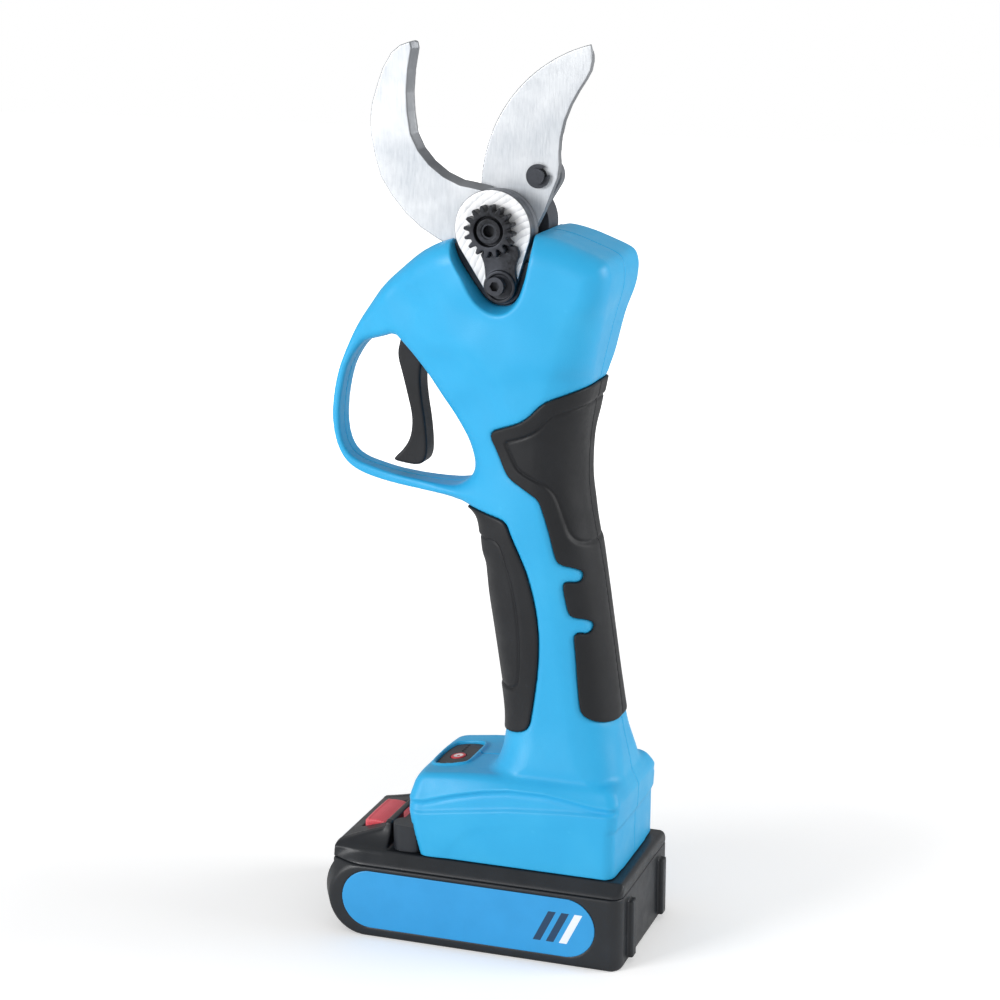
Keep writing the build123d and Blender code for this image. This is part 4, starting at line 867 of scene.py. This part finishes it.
HOOK_OUTER = [
    (-29, 360.8), (-33.9, 359.1), (-37.5, 356.2), (-41.1, 350.3), (-43.5, 343.8), (-45.6, 337.2),
    (-46.3, 332), (-46.3, 324.7), (-44.7, 316.7), (-42.4, 308.7), (-37.7, 301.5), (-32.2, 295.1),
    (-25.9, 289.8), (-18.9, 285.7), (-10, 281.5), (0, 279)]
HOOK_INNER = [
    (8, 300), (2, 306.6), (-4.7, 307.9), (-9.3, 308.6), (-15.5, 311.3), (-21, 315.4), (-25.3, 320.4),
    (-28.1, 326.1), (-29.3, 334.1), (-29.6, 341.3), (-28.9, 349.9), (-27.4, 358), (-27.9, 360.4)]
EDGE_ARC = (54.7, 305.0, 57.7)          # cutting edge: X, Z, radius
CUTTER_BACK = [
    (41, 360), (41.3, 357.2), (41.3, 354.3), (40.6, 350.9), (38.8, 347.6), (35.9, 343.2), (32.9, 337.9),
    (30.5, 332), (29, 325.5), (28.5, 319.7), (28.7, 315.4), (28, 310.4), (25.5, 304.4), (22.9, 297.8),
    (16, 284)]
CUTTER_FRONT = [(-14, 304), (-14, 350), (16, 374), (41, 362)]          # beyond the edge and the tip
TAB_STEM = [
    (3.4, 266.5), (3.4, 270.9), (3.2, 274), (3, 276.8), (2.4, 279.5), (0.6, 283.4), (4, 286.4),
    (15.4, 286.4), (17.3, 282.4), (15.9, 279.8), (15.3, 277.4), (15.5, 274.7), (16, 271.6), (15, 266.5)]


def build_counter_blade():
    s = Space((-48, -15, 245), (21.8, -8.6, 362.5), pick(0.3))
    hook = outline_field(s, HOOK_OUTER + HOOK_INNER)
    ring = cylinder_y(s, *PIVOT, PLATE_RADIUS - 0.6)
    flat = np.minimum(np.minimum(hook, ring), lobe(s, PLATE_RADIUS - 0.6, TANG))
    # the cutting side of the hook is ground on its near face
    inner = line_distance(HOOK_INNER[1:], s.x[:, 0, :], s.z[:, 0, :])[:, None, :]
    near = COUNTER_NEAR + np.where(s.z > 304, np.clip(1.9 - inner, 0, 2) * 1.6, 0)
    f = rounded_and(flat, np.maximum(near - s.y, s.y - (CUTTER_NEAR - 0.05)), 0.25)
    f = less(f, cylinder_y(s, *PIVOT, PIVOT_HOLE), cylinder_y(s, *LOCK, LOCK_HOLE))
    for place in FRAME_SCREWS:
        f = less(f, cylinder_y(s, *place, FRAME_SCREW_HOLE))
    solid("counter_blade_hook", s, f, "handle", "blade_steel", ("counter_blade",))


def build_cutting_blade():
    s = Space((-9.5, -10.2, 276), (43, -5.2, 362.5), pick(0.3))
    outline = outline_field(s, CUTTER_BACK + CUTTER_FRONT)
    arc = cylinder_y(s, *EDGE_ARC)
    grind = (arc + (s.y - CUTTER_NEAR) * BEVEL_WIDTH / (SECTOR_NEAR - CUTTER_NEAR)) * 0.6
    ring = cylinder_y(s, *PIVOT, PLATE_RADIUS - 1.4)
    f = rounded_and(np.minimum(both(outline, arc, grind), ring), block(s, y=(CUTTER_NEAR, SECTOR_NEAR)), 0.2)
    f = less(f, cylinder_y(s, *PIVOT, PIVOT_HOLE + 0.05), cylinder_y(s, *PIN, PIN_HOLE))
    solid("cutting_blade_steel", s, f, "blade", "blade_steel", ("cutting_blade",))


def build_head_plate():
    s = Space((-11.5, -20.8, 260), (22.5, -13.4, 308), pick(0.25))
    f = rounded_and(lobe(s, PLATE_RADIUS, PLATE_FOOT), block(s, y=(PLATE_NEAR, COUNTER_NEAR)), 0.45)
    f = less(f, cylinder_y(s, *PIVOT, PIVOT_HOLE), cylinder_y(s, *LOCK, LOCK_HOLE))
    solid("head_plate_machined", s, f, "handle", "machined_plate", ("head_plate",))


def build_frame_rim():
    """Dark rim of the cast frame beside the plate."""
    s = Space((-13, -18.6, 258), (24, -13.6, 298), pick(0.35))
    f = rounded_and(outline_field(s, SCOOP_FLOOR, 2) + 0.25, block(s, y=(-17.8, -14.05)), 0.4)
    x, z, radius = PLATE_FOOT
    f = less(np.maximum(f, s.z - 283 + 0.2 * s.x), lobe(s, PLATE_RADIUS + 0.1, (x, z, radius + 0.1)))
    solid("head_frame_rim", s, f, "handle", "cast_head")


def toothed(s, root, start):
    """Distance from the pivot, and how far the nut's teeth reach in that direction."""
    dx, dz = s.x - PIVOT[0], s.z - PIVOT[1]
    turns = np.arctan2(dz, dx) * NUT_TEETH / (2 * math.pi) + 0.25
    tooth = np.abs(turns % 1.0 - 0.5) * 2
    return np.hypot(dx, dz), root + TOOTH_HEIGHT * np.clip((tooth - start) / 0.42, 0, 1)


def build_adjusting_nut():
    s = Space((-5.5, -25.8, 280), (16.5, -19.4, 303), pick(0.25))
    far, reach = toothed(s, 7.7, 0.30)
    f = rounded_and((far - reach) * 0.75, block(s, y=(-25.0, -20.05)), 0.3)
    f = less(f, both(far - 5.9, s.y + 22.2))
    f = np.minimum(f, rounded_and(np.abs(far - 3.9) - 0.9, block(s, y=(-24.6, -21.5)), 0.2))
    f = less(f, both(far - 3.0, s.y + 20.6))
    solid("adjusting_nut_toothed", s, f, "handle", "black_oxide", ("adjusting_nut",))


def build_lock_tab():
    """Stem that widens up to a toothed arc, standing on a round cup for its screw."""
    s = Space((-1.5, -25.2, 262.5), (19, -19.4, 287.5), pick(0.25))
    far, reach = toothed(s, 7.95, 0.22)
    stem = np.maximum(outline_field(s, TAB_STEM, 1), (reach - far) * 0.75)
    cup = cylinder_y(s, *CUP)
    f = rounded_and(stem, block(s, y=(-22.0, -20.05)), 0.25)
    f = np.minimum(f, rounded_and(cup, block(s, y=(-22.9, -20.05)), 0.4))
    f = less(f, rounded_and(cup + 1.4, s.y + 21.9, 0.3), cylinder_y(s, *LOCK, LOCK_HOLE))
    solid("lock_tab_toothed", s, f, "handle", "black_oxide", ("lock_tab",))


# ---------------- display

def build_display():
    s = Space((-26.5, -16.5, 64.5), (-5.5, 16.5, 75), pick(0.25))
    u, v, w = panel_axes(s)
    crown = 0.35 - 0.35 * ((u / PANEL_HALF[0]) ** 2 + (v / PANEL_HALF[1]) ** 2)
    f = rounded_and(panel_distance(u, v), np.maximum(w - crown, -2.0 - w), 0.3)
    f = less(f, np.hypot(u, v - BUTTON_Y) - (BUTTON_RADIUS + 0.3))
    for place in LIGHT_YS:
        f = less(f, np.hypot(u, v - place) - LIGHT_RADIUS)
    solid("display_panel_bezel", s, f, "handle", "panel_black", ("display_panel",))

    s = Space((-21.5, -8, 66), (-9.5, 3, 73.5), pick(0.18))
    u, v, w = panel_axes(s)
    far = np.hypot(u, v - BUTTON_Y)
    dish = 0.5 - 0.25 * hump(far, 1.4)
    f = rounded_and(far - BUTTON_RADIUS, np.maximum(w - dish, -2.6 - w), 0.3)
    solid("power_button_cap", s, f, "power_button", "latch_red", ("power_button",), button_red())


# ---------------- battery

def stadium(s, front, top, corner):
    """Side view of the case: round nose in front, small corner radius behind."""
    radius = top / 2
    centre = front + radius
    nose = np.hypot(np.minimum(s.x - centre, 0), s.z - radius) - radius
    behind = rounded_and(s.x - BATTERY_END, np.abs(s.z - radius) - radius, corner)
    return np.where(s.x < centre, nose, behind)


def case_field(s):
    share = np.clip((np.abs(s.y) - SHOULDER_HALF) / (BATTERY_HALF - SHOULDER_HALF), 0, 1)
    outline = stadium(s, 3.5 * share - BATTERY_END, SHOULDER_TOP - (SHOULDER_TOP - SIDE_TOP) * share, 2.0)
    outline = np.where((share > 0) & (share < 1), outline * 0.72, outline)
    f = rounded_and(outline, block(s, y=even(BATTERY_HALF)), 0.9)
    corner = (np.abs(s.y) - BATTERY_HALF + s.x - BATTERY_END + 3.0) * math.sqrt(0.5)
    return rounded_and(f, corner, 1.2)


def hood_field(s):
    """Raised block around the latch, with hollowed flanks and a rim at the back."""
    top = rows(HOOD_TOP, s.x)
    half = 21.5 + 8.0 * np.clip((45.6 - s.z) / 10.2, 0, 1) ** 2.2
    front = -60.3 - np.clip(36.5 - s.z, 0, 8) * 0.08
    line = 0.35 * hump(np.abs(s.y) - half + 2.6, 0.5)
    f = rounded_and(np.abs(s.y) - half, s.z - top - line, 1.0)
    f = rounded_and(f, np.maximum(front - s.x, s.x + 38.0), 0.9)
    return np.maximum(f, 29.5 - s.z)


def label_outline(s, grow=0.0):
    past = np.maximum(np.abs(s.x - LABEL_X) - (LABEL_HALF - LABEL_RADIUS), 0)
    return np.hypot(past, s.z - LABEL_Z) - LABEL_RADIUS - grow


def battery_fields(s):
    """Outside of the battery, and the hollow in it around the screw posts."""
    case = case_field(s)
    outside = soft_or(case, hood_field(s), 1.6)
    for y in (-RIB_Y, RIB_Y):
        rib = rounded_and(block(s, y=(y - 2.8, y + 2.8)), block(s, x=(None, 66.4), z=(2.4, 26.8)), 1.0)
        outside = soft_or(outside, np.maximum(rib, 60 - s.x), 0.8)
    cavity = np.maximum(case + CASE_WALL, -60.0 - s.x)
    for x, y in BATTERY_SCREWS:
        cavity = less(cavity, cylinder_z(s, x, y, 2.9))
    return outside, cavity


def build_battery():
    s = Space((-66, -36.5, -1.5), (68, 36.5, 48), pick(0.55))
    outside, cavity = battery_fields(s)
    tray = rounded_and(outside, s.z - (SIDE_TOP - 0.05), 0.35)
    tray = less(tray, cavity, both(label_outline(s, 0.15), 34.65 - np.abs(s.y)))
    for x, y in BATTERY_SCREWS:
        tray = less(tray, both(cylinder_z(s, x, y, 2.85), s.z - 5.0))
    solid("battery_tray_case", s, tray, "battery", "case_black", ("battery_tray",))

    # cover: the upper part of the case with a well under the latch and a rail that carries the tool
    cx, length, width, _ = LATCH
    reach = length / 2
    well = block(s, x=(cx - reach - 1.8, cx + reach + 1.8), y=even(14.6), z=(26.2, 38))
    rail = np.minimum(block(s, y=even(15), z=(None, RAIL_TOP)), block(s, y=even(18), z=(39.4, RAIL_TOP)))
    rail = rounded_and(both(rail, block(s, x=(-28, 46), z=(34.5, None))), s.z - RAIL_TOP, 0.5)
    cover = rounded_and(outside, (SIDE_TOP + 0.05) - s.z, 0.35)
    cover = less(cover, both(cavity, s.z - 34.0))
    cover = np.minimum(np.minimum(cover, well), rail)
    pocket = block(s, x=(cx - reach - 0.45, cx + reach + 0.45), y=even(width / 2 + 0.45), z=(27.5, None))
    cover = soft_cut(cover, pocket, 0.5)
    cover = less(cover, block(s, x=(cx, -30), y=even(7.3), z=(36.3, 44.6)),
                 block(s, x=(10, 42), y=even(12), z=(None, 40.6)))
    for y in (-8.0, 0.0, 8.0):
        cover = less(cover, block(s, x=(23, None), y=(y - 0.9, y + 0.9), z=(38, None)))
    solid("battery_cover_case", s, cover, "battery", "case_black", ("battery_cover",))


def build_labels():
    inner, outer = LABEL_SKIN
    for name, sign in (("side_labels_film", 1), ("side_label_film_near", -1)):
        low, high = sorted((34.2 * sign, 35.8 * sign))
        s = Space((-56.5, low, 2.4), (55.5, high, 30.2), pick(0.3))
        out = s.y * sign
        f = rounded_and(label_outline(s), np.maximum(inner - out, out - outer), 0.1)
        solid(name, s, f, "battery", "label_blue", ("side_labels",))


def build_latch():
    cx, length, width, top = LATCH
    s = Space((-55.5, -14, 32.5), (-30, 14, 45.5), pick(0.28))
    sides = rounded_and(np.abs(s.x - cx) - length / 2, np.abs(s.y) - width / 2, 2.2)
    crown = top - 0.03 * (s.x - cx) ** 2 - 0.002 * s.y ** 2
    ridge = 0.35 * hump(s.x - (cx - length / 2 + 1.6), 0.6)
    f = rounded_and(sides, np.maximum(s.z - crown - ridge, 34 - s.z), 1.0)
    f = less(f, block(s, x=(cx - 3.8, cx + 3.8), y=even(10), z=(None, 36)))
    arm = block(s, x=(cx + 4, -31.5), y=even(6.5), z=(39.2, 41.4))
    hook = block(s, x=(-34, -31.5), y=even(6.5), z=(40, 44))
    f = np.minimum(f, np.minimum(arm, hook))
    solid("battery_latch_button", s, f, "latch", "latch_red", ("battery_latch",), latch_red_dotted())


def build_latch_spring():
    """Coil spring under the latch."""
    radius, wire, pitch, rise, sides = 2.6, 0.35, 1.7, 7.3, 8
    turn = np.linspace(0, 2 * math.pi * rise / pitch, pick(132))[:, None]
    ring = np.linspace(0, 2 * math.pi, sides, endpoint=False)[None, :]
    reach = radius + wire * np.cos(ring)
    height = SPRING_BASE + wire + pitch * turn / (2 * math.pi) + wire * np.sin(ring)
    points = np.stack([LATCH[0] + reach * np.cos(turn), reach * np.sin(turn), height], -1).reshape(-1, 3)
    last = (len(turn) - 1) * sides
    faces = []
    for start in range(0, last, sides):
        for side in range(sides):
            a, b = start + side, start + (side + 1) % sides
            faces.append((a, a + sides, b + sides, b))
    for a, b, c, d in ((0, 1, 2, 3), (0, 3, 4, 7), (4, 5, 6, 7)):
        faces.append((a, b, c, d))
        faces.append((last + d, last + c, last + b, last + a))
    mesh = mesh_from("latch_spring_coil", points * MM, faces)
    smooth_faces(mesh)
    coil = piece_from("latch_spring_coil", mesh, "battery", "zinc_screw", ("latch_spring",))
    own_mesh(coil)


# ---------------- CAD nodes that stay

def dress_nodes():
    """Gives each CAD node that still shows its slot's material and softened edges."""
    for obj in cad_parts.values():
        if obj.hide_render:
            continue
        slots = obj.data.materials
        current = slots[0].name.split(".")[0] if slots else "case_black"
        material = MATERIALS.get(current, MATERIALS["case_black"])
        if not slots:
            slots.append(material)
        for number in range(len(slots)):
            slots[number] = material
        bevel = obj.modifiers.new("soft_edges", "BEVEL")
        bevel.width = 0.00015
        bevel.segments = 2
        bevel.limit_method = "ANGLE"
        bevel.angle_limit = math.radians(40)


# ---------------- studio: metres, watts

FLOOR_HALF = 3
PAPER_DARK = (243.4, 243.4, 243.4)
PAPER_LIGHT = (247, 247, 247)
AIM = (0, 0, 0.17)
LAMPS = (("key", (-0.95, -1.15, 0.60), 15, 0.6), ("rim", (1.0, 0.25, 0.55), 6, 0.5),
         ("fill", (0.5, -1.2, 0.25), 1.5, 0.8))              # name, place, power, size
CAMERA_PLACE = (0.31186, -0.88603, 0.42290)
CAMERA_SIDE = math.radians(19.3)
CAMERA_RISE = math.radians(14.5)
CAMERA_LENS = 87.48


def lay_floor():
    """Pale paper that the camera sees fade to white with distance."""
    h = FLOOR_HALF
    mesh = mesh_from("floor", [(-h, -h, 0), (h, -h, 0), (h, h, 0), (-h, h, 0)], [(0, 1, 2, 3)])
    floor = into_scene("floor", mesh)
    g = Graph("floor_paper")
    paper = g.ramp(g.noise(6, 3), ((0.3, PAPER_DARK), (0.7, PAPER_LIGHT)))
    seen = g.node("ShaderNodeLightPath").outputs["Is Camera Ray"]
    glow = g.math("MULTIPLY", seen, g.remap(g.length(g.coords), 0.25, 1.1, 0.2, 0.9))
    g.set(Base_Color=paper, Roughness=0.9, Emission_Color=paper, Emission_Strength=glow)
    mesh.materials.append(g.material)


def light_sky():
    """Even grey light, seen as white by the camera."""
    world = bpy.data.worlds.new("studio")
    bpy.context.scene.world = world
    world.use_nodes = True
    nodes, links = world.node_tree.nodes, world.node_tree.links
    back = nodes["Background"]
    back.inputs["Color"].default_value = (1, 1, 1, 1)
    path = nodes.new("ShaderNodeLightPath")
    strength = nodes.new("ShaderNodeMapRange")
    strength.inputs["To Min"].default_value = 0.5
    strength.inputs["To Max"].default_value = 1.0
    links.new(path.outputs["Is Camera Ray"], strength.inputs["Value"])
    links.new(strength.outputs["Result"], back.inputs["Strength"])


def hang_lamps():
    for name, place, power, size in LAMPS:
        data = bpy.data.lights.new(name, "AREA")
        data.energy = power
        data.size = size
        lamp = into_scene(name, data)
        lamp.location = place
        lamp.rotation_euler = (Vector(AIM) - Vector(place)).to_track_quat("-Z", "Y").to_euler()


def place_camera():
    bpy.context.scene.view_settings.view_transform = "Standard"
    data = bpy.data.cameras.new("camera")
    data.sensor_width = 36
    data.lens = CAMERA_LENS
    data.clip_start = 0.01
    cam = into_scene("camera", data)
    cam.location = CAMERA_PLACE
    level = math.cos(CAMERA_RISE)
    back = Vector((math.sin(CAMERA_SIDE) * level, -math.cos(CAMERA_SIDE) * level, math.sin(CAMERA_RISE)))
    cam.rotation_euler = (-back).to_track_quat("-Z", "Y").to_euler()
    bpy.context.scene.camera = cam


BUILDERS = (build_shells, build_grips, build_trigger, build_counter_blade, build_cutting_blade,
            build_head_plate, build_frame_rim, build_adjusting_nut, build_lock_tab, build_display,
            build_battery, build_labels, build_latch, build_latch_spring, dress_nodes, lay_floor, light_sky,
            hang_lamps, place_camera)
for build in BUILDERS:
    build()
